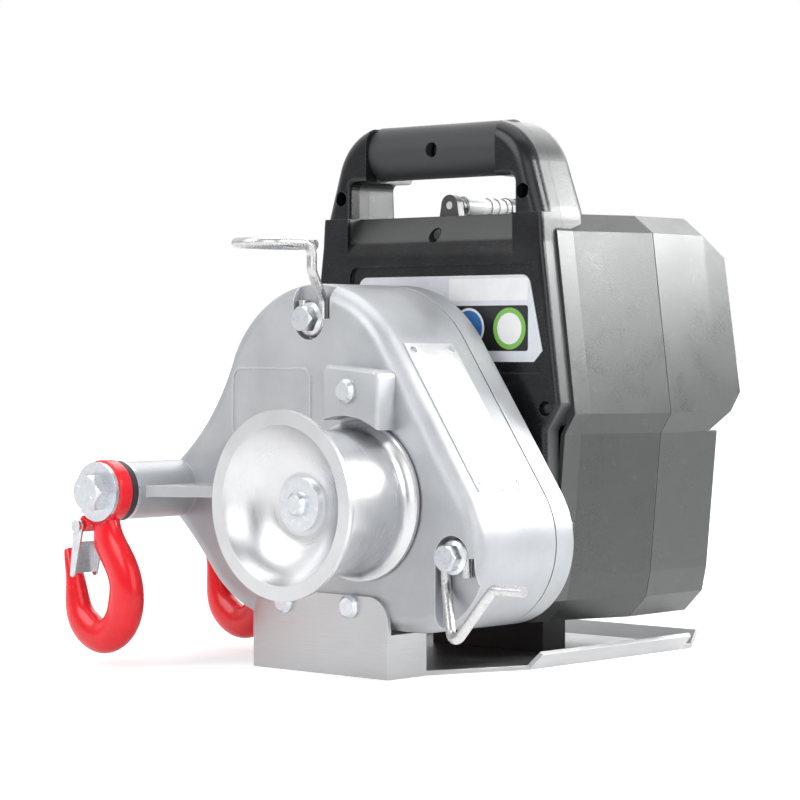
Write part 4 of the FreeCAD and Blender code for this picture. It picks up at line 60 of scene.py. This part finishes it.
def node(tree, kind, inputs=None, **settings):
    """A new node with its settings, each input linked to a socket or set to a value."""
    made = tree.nodes.new(kind)
    for key, value in settings.items():
        setattr(made, key, value)
    for key, value in (inputs or {}).items():
        if isinstance(value, bpy.types.NodeSocket):
            tree.links.new(value, made.inputs[key])
        else:
            made.inputs[key].default_value = value
    return made


def shader(name, **constants):
    """A new material and its principled shader, with constants set on the shader's sockets."""
    material = bpy.data.materials.new(name)
    material.use_nodes = True
    tree = material.node_tree
    principled = tree.nodes["Principled BSDF"]
    for key, value in constants.items():
        principled.inputs[key.replace("_", " ").title().replace("Ior", "IOR")].default_value = value
    return material, tree, principled


def place(tree):
    """Position in the part's frame."""
    return node(tree, "ShaderNodeTexCoord").outputs["Object"]


def noise(tree, size, detail=2.0, stretch=(1, 1, 1)):
    """Noise with features about size metres across, drawn out along axes whose stretch is below one."""
    scaled = node(tree, "ShaderNodeMapping", {"Vector": place(tree), "Scale": [s / size for s in stretch]})
    made = node(tree, "ShaderNodeTexNoise", {"Vector": scaled.outputs[0], "Scale": 1.0, "Detail": detail})
    return made.outputs[0]


def cells(tree, size):
    """Distance field of cells about size metres across."""
    scaled = node(tree, "ShaderNodeMapping", {"Vector": place(tree), "Scale": [1 / size] * 3})
    return node(tree, "ShaderNodeTexVoronoi", {"Vector": scaled.outputs[0], "Scale": 1.0}).outputs["Distance"]


def remap(tree, value, low, high, to_low, to_high):
    """Value from low to high, carried over to the range from to_low to to_high and clamped there."""
    sockets = {"Value": value, "From Min": low, "From Max": high, "To Min": to_low, "To Max": to_high}
    return node(tree, "ShaderNodeMapRange", sockets).outputs[0]


def maths(tree, operation, first, second):
    return node(tree, "ShaderNodeMath", {0: first, 1: second}, operation=operation).outputs[0]


def blend_colours(tree, factor, first, second):
    made = node(tree, "ShaderNodeMix", {0: factor}, data_type="RGBA")
    for index, value in ((6, first), (7, second)):
        if isinstance(value, bpy.types.NodeSocket):
            tree.links.new(value, made.inputs[index])
        else:
            made.inputs[index].default_value = (*value, 1.0)
    return made.outputs[2]


def edges(tree, radius):
    """One along sharp edges, falling to zero on open faces."""
    soft = node(tree, "ShaderNodeBevel", {"Radius": radius}, samples=4).outputs[0]
    true = node(tree, "ShaderNodeNewGeometry").outputs["Normal"]
    dot = node(tree, "ShaderNodeVectorMath", {0: soft, 1: true}, operation="DOT_PRODUCT").outputs["Value"]
    return remap(tree, dot, 0.985, 0.8, 0.0, 1.0)


def bump(tree, height, depth, radius=0.0):
    """Normal of a relief that is depth metres high, on edges eased by radius."""
    made = node(tree, "ShaderNodeBump", {"Strength": 1.0, "Distance": depth, "Height": height})
    if radius:
        soft = node(tree, "ShaderNodeBevel", {"Radius": radius}, samples=4).outputs[0]
        tree.links.new(soft, made.inputs["Normal"])
    return made.outputs[0]


def connect(tree, principled, **sockets):
    names = {"colour": "Base Color", "roughness": "Roughness", "normal": "Normal"}
    for key, socket in sockets.items():
        tree.links.new(socket, principled.inputs[names[key]])


# Materials

CAST_EDGE = (0.86, 0.87, 0.88)
PLATED_EDGE = (0.9, 0.9, 0.9)
SHEET_EDGE = (0.92, 0.92, 0.93)
SHELL_EDGE = (0.2, 0.21, 0.21)
# Height of the roof that the latch's ear stands on, and the depth that the ear ends before; painted shade
# makes the ear dark there
EAR_FOOT = 247.5 * MM
EAR_REAR = 112.1 * MM
# Height of the handle's foot, its step back from the panel, and the depth where the gloss face ends
HANDLE_FOOT = 247 * MM
HANDLE_STEP = 7.5 * MM
GLOSS_END = 88.8 * MM
# Half the width of the change from one finish to the next, and at the edge of the ear's painted shade
BLUR = 0.1 * MM
GLOSS_BLUR = 0.5 * MM


def mottle(tree, pattern, low, high, first, second):
    """Two tones blended where the pattern runs from low to high."""
    return blend_colours(tree, remap(tree, pattern, low, high, 0, 1), first, second)


def rub(tree, radius, share, base, tone):
    """Base with a share of the tone worn in along sharp edges."""
    return blend_colours(tree, maths(tree, "MULTIPLY", edges(tree, radius), share), base, tone)


def shade(colour, share):
    """The colour made darker or lighter by a share."""
    return [c * share for c in colour]


def cast_metal(name, dark, light, roughness):
    """Blasted casting: fine pitted grain, cloudy tone and brighter worn edges."""
    material, tree, principled = shader(name, metallic=0.7)
    cloud = noise(tree, 28 * MM, 4)
    grain = noise(tree, 0.7 * MM, 3)
    base = mottle(tree, cloud, 0.35, 0.65, dark, light)
    speckled = blend_colours(tree, remap(tree, grain, 0.32, 0.42, 0.35, 0), base, shade(dark, 0.72))
    worn = rub(tree, 1.2 * MM, 0.5, speckled, CAST_EDGE)
    rough = maths(tree, "ADD", remap(tree, cloud, 0.3, 0.7, roughness - 0.05, roughness + 0.05),
                  remap(tree, grain, 0.3, 0.7, -0.04, 0.04))
    connect(tree, principled, colour=worn, roughness=rough, normal=bump(tree, grain, 0.05 * MM, 0.5 * MM))
    return material


def turned_metal(name, colour, roughness, anisotropy):
    """Lathe-turned metal: fine rings about the Y axis and a soft streaked sheen."""
    material, tree, principled = shader(name, metallic=1.0, anisotropic=anisotropy)
    tangent = node(tree, "ShaderNodeTangent", direction_type="RADIAL", axis="Y").outputs[0]
    tree.links.new(tangent, principled.inputs["Tangent"])
    rings = noise(tree, 0.45 * MM, 2, (0.004, 1, 0.004))
    cloud = noise(tree, 20 * MM, 3)
    base = mottle(tree, cloud, 0.35, 0.65, shade(colour, 0.93), colour)
    rough = maths(tree, "ADD", remap(tree, rings, 0.3, 0.7, roughness - 0.05, roughness + 0.05),
                  remap(tree, cloud, 0.3, 0.7, -0.02, 0.03))
    connect(tree, principled, colour=base, roughness=rough, normal=bump(tree, rings, 0.006 * MM, 0.4 * MM))
    return material


def plated_metal(name, colour, roughness, stain):
    """Plated or drawn steel: slight cloudy stain, fine scratches and bright edges."""
    material, tree, principled = shader(name, metallic=1.0)
    cloud = noise(tree, 3 * MM, 3)
    scratch = noise(tree, 0.35 * MM, 2, (1, 0.15, 1))
    base = mottle(tree, cloud, 0.35, 0.7, colour, stain)
    worn = rub(tree, 0.5 * MM, 0.5, base, PLATED_EDGE)
    rough = maths(tree, "ADD", remap(tree, cloud, 0.3, 0.7, roughness - 0.04, roughness + 0.08),
                  remap(tree, scratch, 0.3, 0.7, -0.03, 0.05))
    connect(tree, principled, colour=worn, roughness=rough, normal=bump(tree, scratch, 0.008 * MM, 0.3 * MM))
    return material


def brushed_sheet(name, colour, roughness, along, edge):
    """Brushed sheet metal: long fine lines along one axis, smudges, bright cut edges."""
    material, tree, principled = shader(name, metallic=1.0)
    lines = noise(tree, 0.3 * MM, 2, along)
    smudge = noise(tree, 25 * MM, 3)
    base = mottle(tree, lines, 0.3, 0.7, shade(colour, 0.9), colour)
    worn = rub(tree, 0.6 * MM, edge, base, SHEET_EDGE)
    rough = maths(tree, "ADD", remap(tree, smudge, 0.3, 0.7, roughness - 0.05, roughness + 0.08),
                  remap(tree, lines, 0.3, 0.7, -0.05, 0.05))
    connect(tree, principled, colour=worn, roughness=rough, normal=bump(tree, lines, 0.012 * MM, 0.4 * MM))
    return material


def painted(name, colour, dark):
    """Thick gloss coat over forged metal: orange peel, cloudy darker patches, thin wear on edges."""
    material, tree, principled = shader(name, coat_weight=0.3, coat_roughness=0.08, specular_ior_level=0.35)
    peel = noise(tree, 1.6 * MM, 2)
    cloud = noise(tree, 14 * MM, 3)
    base = mottle(tree, cloud, 0.35, 0.7, colour, dark)
    chips = noise(tree, 2.2 * MM, 3)
    wear = maths(tree, "MULTIPLY", edges(tree, 0.7 * MM), remap(tree, chips, 0.56, 0.66, 0, 0.5))
    worn = blend_colours(tree, wear, base, shade(dark, 0.45))
    rough = remap(tree, cloud, 0.3, 0.7, 0.2, 0.3)
    connect(tree, principled, colour=worn, roughness=rough, normal=bump(tree, peel, 0.03 * MM, 0.5 * MM))
    return material


def moulded(name, colour, roughness, grain_size, grain_depth, edge_tone, gloss=0.5, ear_shade=None):
    """Moulded plastic or rubber: spark-eroded grain, faint flow marks and rubbed edges.

    Where ear_shade gives a colour, it is painted over what stands on the roof in front, as painted shade on
    the latch's ear.
    """
    material, tree, principled = shader(name, specular_ior_level=gloss)
    grain = cells(tree, grain_size)
    flow = noise(tree, 22 * MM, 4)
    scuff = noise(tree, 1.5 * MM, 3, (1, 0.2, 0.4))
    base = mottle(tree, flow, 0.35, 0.65, shade(colour, 0.94), shade(colour, 1.05))
    rubbed = blend_colours(tree, remap(tree, scuff, 0.62, 0.75, 0, 0.12), base, edge_tone)
    worn = rub(tree, 0.8 * MM, 0.35, rubbed, edge_tone)
    rough = maths(tree, "ADD", remap(tree, flow, 0.3, 0.7, roughness - 0.04, roughness + 0.05),
                  remap(tree, grain, 0.0, 0.8, -0.05, 0.05))
    # Painted shade: the ear on the roof, in front of the given depth, is painted dark
    if ear_shade:
        spot = node(tree, "ShaderNodeSeparateXYZ", {0: place(tree)}).outputs
        above = remap(tree, spot["Z"], EAR_FOOT - BLUR, EAR_FOOT + BLUR, 0, 1)
        before = remap(tree, spot["Y"], EAR_REAR - BLUR, EAR_REAR + BLUR, 1, 0)
        worn = blend_colours(tree, maths(tree, "MULTIPLY", above, before), worn, ear_shade)
    connect(tree, principled, colour=worn, roughness=rough, normal=bump(tree, grain, grain_depth, 0.5 * MM))
    return material


def panel_plastic(name, face, side):
    """Gloss front face whose sides carry the grained finish of the body."""
    material, tree, principled = shader(name)
    spot = node(tree, "ShaderNodeSeparateXYZ", {0: place(tree)}).outputs
    handle = remap(tree, spot["Z"], HANDLE_FOOT - BLUR, HANDLE_FOOT + BLUR, 0, HANDLE_STEP)
    depth = maths(tree, "SUBTRACT", spot["Y"], handle)
    grained = remap(tree, depth, GLOSS_END - GLOSS_BLUR, GLOSS_END + GLOSS_BLUR, 0, 1)
    flow = noise(tree, 22 * MM, 4)
    grain = cells(tree, 0.55 * MM)
    scuff = noise(tree, 1.2 * MM, 3, (0.3, 1, 1))
    front = mottle(tree, flow, 0.35, 0.65, shade(face, 0.8), shade(face, 1.2))
    sides = mottle(tree, flow, 0.35, 0.65, shade(side, 0.86), shade(side, 1.12))
    base = blend_colours(tree, grained, front, sides)
    worn = rub(tree, 0.8 * MM, 0.2, base, SHELL_EDGE)
    gloss = maths(tree, "ADD", remap(tree, flow, 0.3, 0.7, 0.2, 0.28),
                  remap(tree, scuff, 0.55, 0.75, 0, 0.08))
    rough = maths(tree, "ADD", gloss, maths(tree, "MULTIPLY", grained, 0.12))
    tree.links.new(remap(tree, grained, 0, 1, 0.4, 1.0), principled.inputs["Specular IOR Level"])
    relief = maths(tree, "MULTIPLY", grain, remap(tree, grained, 0, 1, 0.1, 1))
    connect(tree, principled, colour=worn, roughness=rough, normal=bump(tree, relief, 0.05 * MM, 0.5 * MM))
    return material


def film(name, colour, roughness):
    """Printed film: faint mottle and tiny dust marks."""
    material, tree, principled = shader(name)
    cloud = noise(tree, 6 * MM, 3)
    dust = noise(tree, 0.5 * MM, 2)
    base = mottle(tree, cloud, 0.35, 0.65, shade(colour, 0.95), colour)
    rough = maths(tree, "ADD", remap(tree, cloud, 0.3, 0.7, roughness - 0.04, roughness + 0.04),
                  remap(tree, dust, 0.5, 0.8, 0, 0.1))
    connect(tree, principled, colour=base, roughness=rough, normal=bump(tree, dust, 0.004 * MM, 0.2 * MM))
    return material


def clear_plastic(name, colour, roughness):
    """Clear moulded plastic: faint haze and handling scratches."""
    material, tree, principled = shader(name, transmission_weight=0.55, ior=1.49)
    haze = noise(tree, 8 * MM, 3)
    scratch = noise(tree, 0.4 * MM, 2, (1, 0.1, 1))
    base = mottle(tree, haze, 0.35, 0.65, shade(colour, 0.96), colour)
    rough = maths(tree, "ADD", remap(tree, haze, 0.3, 0.7, roughness - 0.03, roughness + 0.05),
                  remap(tree, scratch, 0.55, 0.75, 0, 0.1))
    connect(tree, principled, colour=base, roughness=rough, normal=bump(tree, scratch, 0.006 * MM, 0.3 * MM))
    return material


SHELL_GREY = (0.03, 0.0335, 0.0335)
PANEL_BLACK = (0.009, 0.0095, 0.011)
# Painted shade: a near-black colour laid on the latch's ear, which is dark because it lies in shade
EAR_PAINTED_SHADE = (0.008, 0.008, 0.009)
SHELL_FINISH = (SHELL_GREY, 0.3, 0.6 * MM, 0.05 * MM, SHELL_EDGE, 1.0)
finishes = {
    "cast_aluminium": cast_metal("cast_aluminium", (0.455, 0.47, 0.49), (0.52, 0.535, 0.555), 0.46),
    "machined_aluminium": turned_metal("machined_aluminium", (0.7, 0.705, 0.72), 0.31, 0.5),
    "gasket_rubber": moulded("gasket_rubber", (0.03, 0.03, 0.032), 0.6, 0.4 * MM, 0.03 * MM,
                             (0.07, 0.07, 0.07)),
    "zinc_steel": plated_metal("zinc_steel", (0.72, 0.75, 0.79), 0.28, (0.67, 0.69, 0.72)),
    "plate_aluminium": brushed_sheet("plate_aluminium", (0.8, 0.805, 0.81), 0.4, (1, 0.02, 1), 0.2),
    "bright_wire": plated_metal("bright_wire", (0.62, 0.62, 0.62), 0.26, (0.56, 0.56, 0.56)),
    "hardened_steel": plated_metal("hardened_steel", (0.5, 0.51, 0.53), 0.3, (0.42, 0.42, 0.44)),
    "spring_steel": plated_metal("spring_steel", (0.62, 0.63, 0.65), 0.28, (0.5, 0.5, 0.52)),
    "bronze": plated_metal("bronze", (0.7, 0.5, 0.26), 0.34, (0.5, 0.34, 0.18)),
    "fibre": moulded("fibre", (0.045, 0.03, 0.042), 0.55, 0.5 * MM, 0.04 * MM, (0.12, 0.09, 0.1)),
    "red_paint": painted("red_paint", (0.94, 0.012, 0.024), (0.86, 0.009, 0.018)),
    "stainless_sheet": brushed_sheet("stainless_sheet", (0.6, 0.605, 0.615), 0.36, (0.02, 0.02, 1), 0.6),
    "black_rubber": moulded("black_rubber", (0.015, 0.015, 0.016), 0.5, 0.6 * MM, 0.04 * MM,
                            (0.05, 0.05, 0.05)),
    "black_plastic": moulded("black_plastic", (0.02, 0.021, 0.023), 0.32, 0.4 * MM, 0.02 * MM,
                             (0.1, 0.1, 0.1)),
    "label_film": film("label_film", (0.7, 0.73, 0.78), 0.36),
    "grip_plastic": moulded("grip_plastic", (0.03, 0.033, 0.036), 0.48, 0.5 * MM, 0.05 * MM,
                            (0.1, 0.105, 0.11)),
    "grey_plastic": moulded("grey_plastic", *SHELL_FINISH),
    "clear_sleeve": clear_plastic("clear_sleeve", (0.93, 0.94, 0.95), 0.16),
    "battery_case": moulded("battery_case", (0.05, 0.05, 0.055), 0.42, 0.5 * MM, 0.04 * MM,
                            (0.12, 0.12, 0.12)),
}
for row in frame["record"]["subparts"]:
    thing = frame["nodes"][row["node"]]
    thing.data.materials.clear()
    thing.data.materials.append(finishes[row["material_slot"]])
shell = frame["nodes"]["middle_shell"]
# The shell's plastic, with painted shade on the latch's ear
shell.data.materials[0] = moulded("shell_plastic_painted_shade", *SHELL_FINISH, ear_shade=EAR_PAINTED_SHADE)
panel = frame["nodes"]["front_panel"]
panel.data.materials[0] = panel_plastic("panel_plastic", PANEL_BLACK, SHELL_GREY)


# Pieces that Blender adds

def piece(name, mesh, body, material):
    """Link a finished bmesh as a piece that rides on a body."""
    data = bpy.data.meshes.new(name)
    mesh.normal_update()
    mesh.to_mesh(data)
    mesh.free()
    made = bpy.data.objects.new(name, data)
    scene.collection.objects.link(made)
    data.materials.append(material)
    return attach(made, body)


def prism(mesh, outline, y, thickness, bevel):
    """Add a thin plate in the XZ plane whose front lies at y, with a bevelled front edge."""
    front = mesh.faces.new([mesh.verts.new((x, y, z)) for x, z in outline])
    back = mesh.faces.new([mesh.verts.new((x, y + thickness, z)) for x, z in reversed(outline)])
    count = len(outline)
    front_ring = [loop.vert for loop in front.loops]
    back_ring = [loop.vert for loop in back.loops][::-1]
    for i in range(count):
        j = (i + 1) % count
        mesh.faces.new([front_ring[j], front_ring[i], back_ring[i], back_ring[j]])
    bmesh.ops.recalc_face_normals(mesh, faces=mesh.faces)
    if bevel:
        rim = [edge for edge in mesh.edges if all(abs(v.co.y - y) < 1e-7 for v in edge.verts)]
        bmesh.ops.bevel(mesh, geom=rim, offset=bevel, segments=2, profile=0.5, affect="EDGES")


def rounded_box(x0, x1, z0, z1, radius, steps=6):
    """Outline of a rectangle with round corners, anticlockwise."""
    corners = ((x1 - radius, z0 + radius, -90), (x1 - radius, z1 - radius, 0),
               (x0 + radius, z1 - radius, 90), (x0 + radius, z0 + radius, 180))
    outline = []
    for x, z, start in corners:
        for step in range(steps + 1):
            angle = math.radians(start + 90 * step / steps)
            outline.append((x + radius * math.cos(angle), z + radius * math.sin(angle)))
    return outline


def disc(x, z, radius, steps=48):
    """Outline of a circle."""
    angles = [2 * math.pi * i / steps for i in range(steps)]
    return [(x + radius * math.cos(angle), z + radius * math.sin(angle)) for angle in angles]


label_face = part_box("label")[0].y
INK = 0.05 * MM
INK_WHITE = (0.86, 0.86, 0.87)
INK_BLACK = (0.012, 0.012, 0.014)
INK_BLUE = (0.045, 0.2, 0.52)
INK_GREEN = (0.2, 0.5, 0.08)
WHITE_FIELD = rounded_box(-14.4 * MM, 42 * MM, 199.4 * MM, 211.6 * MM, 1.2 * MM)
BLACK_FIELD = rounded_box(-14.4 * MM, 42.1 * MM, 171.9 * MM, 196.7 * MM, 1.6 * MM)
INLAYS = (
    # name, outline, layer, colour, roughness
    ("label_white_field", WHITE_FIELD, 1, INK_WHITE, 0.4),
    ("label_black_field", BLACK_FIELD, 1, INK_BLACK, 0.3),
    ("label_left_rim", disc(0.2 * MM, 184.5 * MM, 11 * MM), 2, INK_WHITE, 0.36),
    ("label_left_disc", disc(0.2 * MM, 184.5 * MM, 9.6 * MM), 3, INK_BLUE, 0.34),
    ("label_right_rim", disc(29.1 * MM, 184.1 * MM, 11.4 * MM), 2, INK_GREEN, 0.36),
    ("label_right_disc", disc(29.1 * MM, 184.1 * MM, 8.6 * MM), 3, INK_WHITE, 0.34),
)
for name, outline, layer, colour, roughness in INLAYS:
    plate = bmesh.new()
    prism(plate, outline, label_face - layer * INK, INK, 0)
    piece(name, plate, "frame", film(name, colour, roughness))

# Six raised bars round the middle of the front hook bolt's head
MARKS = 6
MARK_OUTLINE = rounded_box(4.2 * MM, 7.4 * MM, -0.45 * MM, 0.45 * MM, 0.4 * MM, 3)
MARK_PROUD = 0.25 * MM
MARK_THICKNESS = 0.3 * MM
MARK_BEVEL = 0.1 * MM
bolt_low, bolt_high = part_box("hook_bolts")
bolt_x = (bolt_low.x + bolt_high.x) / 2
bolt_z = (bolt_low.z + bolt_high.z) / 2
bolt_middle = Matrix.Translation((bolt_x, 0, bolt_z))
marks = bmesh.new()
for step in range(MARKS):
    bar = bmesh.new()
    prism(bar, MARK_OUTLINE, bolt_low.y - MARK_PROUD, MARK_THICKNESS, MARK_BEVEL)
    bar.transform(bolt_middle @ Matrix.Rotation(math.radians(30 + 360 / MARKS * step), 4, "Y"))
    spare = bpy.data.meshes.new("bar")
    bar.to_mesh(spare)
    bar.free()
    marks.from_mesh(spare)
    bpy.data.meshes.remove(spare)
piece("hook_bolt_marks", marks, "frame", finishes["zinc_steel"])


# The latch's coil (it shortens when the sleeve is pushed against it) is copied from the spring into a mesh of
# its own that rides on the frame, at its rest length
wire = frame["nodes"]["latch_spring"]
coil = bpy.data.objects.new("latch_coil", wire.data.copy())
scene.collection.objects.link(coil)
coil.matrix_world = wire.matrix_world
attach(coil, "frame")
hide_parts("latch_spring")
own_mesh(coil)


# Studio

VIEW_AZIMUTH = math.radians(41.94)
VIEW_PITCH = math.radians(1.08)
VIEW_ROLL = math.radians(0.07)
VIEW_FROM = (0.9899, -1.0707, 0.1736)
LENS = 124.65
SENSOR = 36.0
level = math.cos(VIEW_PITCH)
forward = Vector((-math.sin(VIEW_AZIMUTH) * level, math.cos(VIEW_AZIMUTH) * level, -math.sin(VIEW_PITCH)))
camera = bpy.data.objects.new("camera", bpy.data.cameras.new("camera"))
scene.collection.objects.link(camera)
camera.data.sensor_width = SENSOR
camera.data.lens = LENS
camera.data.clip_start = 10 * MM
camera.location = VIEW_FROM
turn = Matrix.Rotation(VIEW_ROLL, 3, "Z").to_quaternion()
camera.rotation_euler = (forward.to_track_quat("-Z", "Y") @ turn).to_euler()
scene.camera = camera


def seen_rays(tree):
    """One for camera, glossy and transmission rays, and one for camera rays alone."""
    rays = node(tree, "ShaderNodeLightPath").outputs
    both = maths(tree, "MAXIMUM", rays["Is Camera Ray"], rays["Is Glossy Ray"])
    return maths(tree, "MAXIMUM", both, rays["Is Transmission Ray"]), rays["Is Camera Ray"]


world = bpy.data.worlds.new("studio")
scene.world = world
world.use_nodes = True
tree = world.node_tree
background = tree.nodes["Background"]
seen, camera_ray = seen_rays(tree)
# The room is bright behind the part, darker behind the camera and darker near the floor
heading = node(tree, "ShaderNodeTexCoord").outputs["Generated"]
facing = {0: heading, 1: (forward.x, forward.y, 0)}
behind = node(tree, "ShaderNodeVectorMath", facing, operation="DOT_PRODUCT").outputs["Value"]
height = node(tree, "ShaderNodeSeparateXYZ", {0: heading}).outputs["Z"]
room = maths(tree, "MULTIPLY", remap(tree, behind, -0.5, 0.45, 0.35, 1.0),
             remap(tree, height, 0.0, 0.3, 0.55, 1.0))
ambient = maths(tree, "MULTIPLY", room, remap(tree, seen, 0, 1, 0.6, 1.0))
background.inputs["Color"].default_value = (1.0, 1.0, 1.0, 1.0)
tree.links.new(maths(tree, "MAXIMUM", ambient, camera_ray), background.inputs["Strength"])


def lamp(name, spot, target, width, height, power, spread):
    """Add a rectangular lamp at a spot, turned to its target."""
    light = bpy.data.lights.new(name, "AREA")
    light.shape = "RECTANGLE"
    light.size = width
    light.size_y = height
    light.energy = power
    light.spread = math.radians(spread)
    made = bpy.data.objects.new(name, light)
    scene.collection.objects.link(made)
    made.location = spot
    made.rotation_euler = (Vector(target) - Vector(spot)).to_track_quat("-Z", "Y").to_euler()


CENTRE = (-0.03, 0.08, 0.14)
LAMPS = (
    # name, spot, target, width, height, power, spread in degrees
    ("right_box", (0.63, 0.22, 0.5), (0.05, 0.1, 0.22), 0.32, 0.26, 1.25, 90),
    ("rear_box", (0.39, 0.62, 0.42), (0.05, 0.14, 0.22), 0.3, 0.2, 0.58, 80),
    ("back_box", (-0.32, 0.8, 0.76), CENTRE, 0.9, 0.5, 2.6, 180),
    ("front_box", (-0.5, -1.3, 1.0), CENTRE, 1.0, 1.0, 11.5, 180),
    ("fill_box", (0.7, -0.7, 0.5), CENTRE, 0.7, 0.7, 3.0, 180),
    ("top_box", (-0.1, 0.1, 1.4), CENTRE, 1.2, 1.2, 7.0, 180),
)
for row in LAMPS:
    lamp(*row)

FLOOR_HALF = 30
FLOOR_DROP = 0.05 * MM
FLOOR_GREY = (0.76, 0.76, 0.76, 1)
floor_mesh = bpy.data.meshes.new("floor")
corners = [(FLOOR_HALF * x, FLOOR_HALF * y, 0) for x, y in ((-1, -1), (1, -1), (1, 1), (-1, 1))]
floor_mesh.from_pydata(corners, [], [(0, 1, 2, 3)])
floor = bpy.data.objects.new("floor", floor_mesh)
scene.collection.objects.link(floor)
floor.location.z = -FLOOR_DROP
floor_material = bpy.data.materials.new("floor_white")
floor_material.use_nodes = True
tree = floor_material.node_tree
tree.nodes.remove(tree.nodes["Principled BSDF"])
diffuse = node(tree, "ShaderNodeBsdfDiffuse", {"Color": FLOOR_GREY})
seen, camera_ray = seen_rays(tree)
# The glow rises away from the part, so that the part's shadow stays, and is weaker in reflections
distance = node(tree, "ShaderNodeVectorMath", {0: place(tree)}, operation="LENGTH").outputs["Value"]
mirrored = maths(tree, "MULTIPLY", seen, remap(tree, camera_ray, 0, 1, 0.7, 1.0))
strength = maths(tree, "MULTIPLY", mirrored, remap(tree, distance, 0.4, 1.2, 0.5, 1.0))
glow = node(tree, "ShaderNodeEmission", {"Color": (1, 1, 1, 1), "Strength": strength})
both = node(tree, "ShaderNodeAddShader", {0: diffuse.outputs[0], 1: glow.outputs[0]})
tree.links.new(both.outputs[0], tree.nodes["Material Output"].inputs["Surface"])
floor_mesh.materials.append(floor_material)

scene.view_settings.view_transform = "Standard"
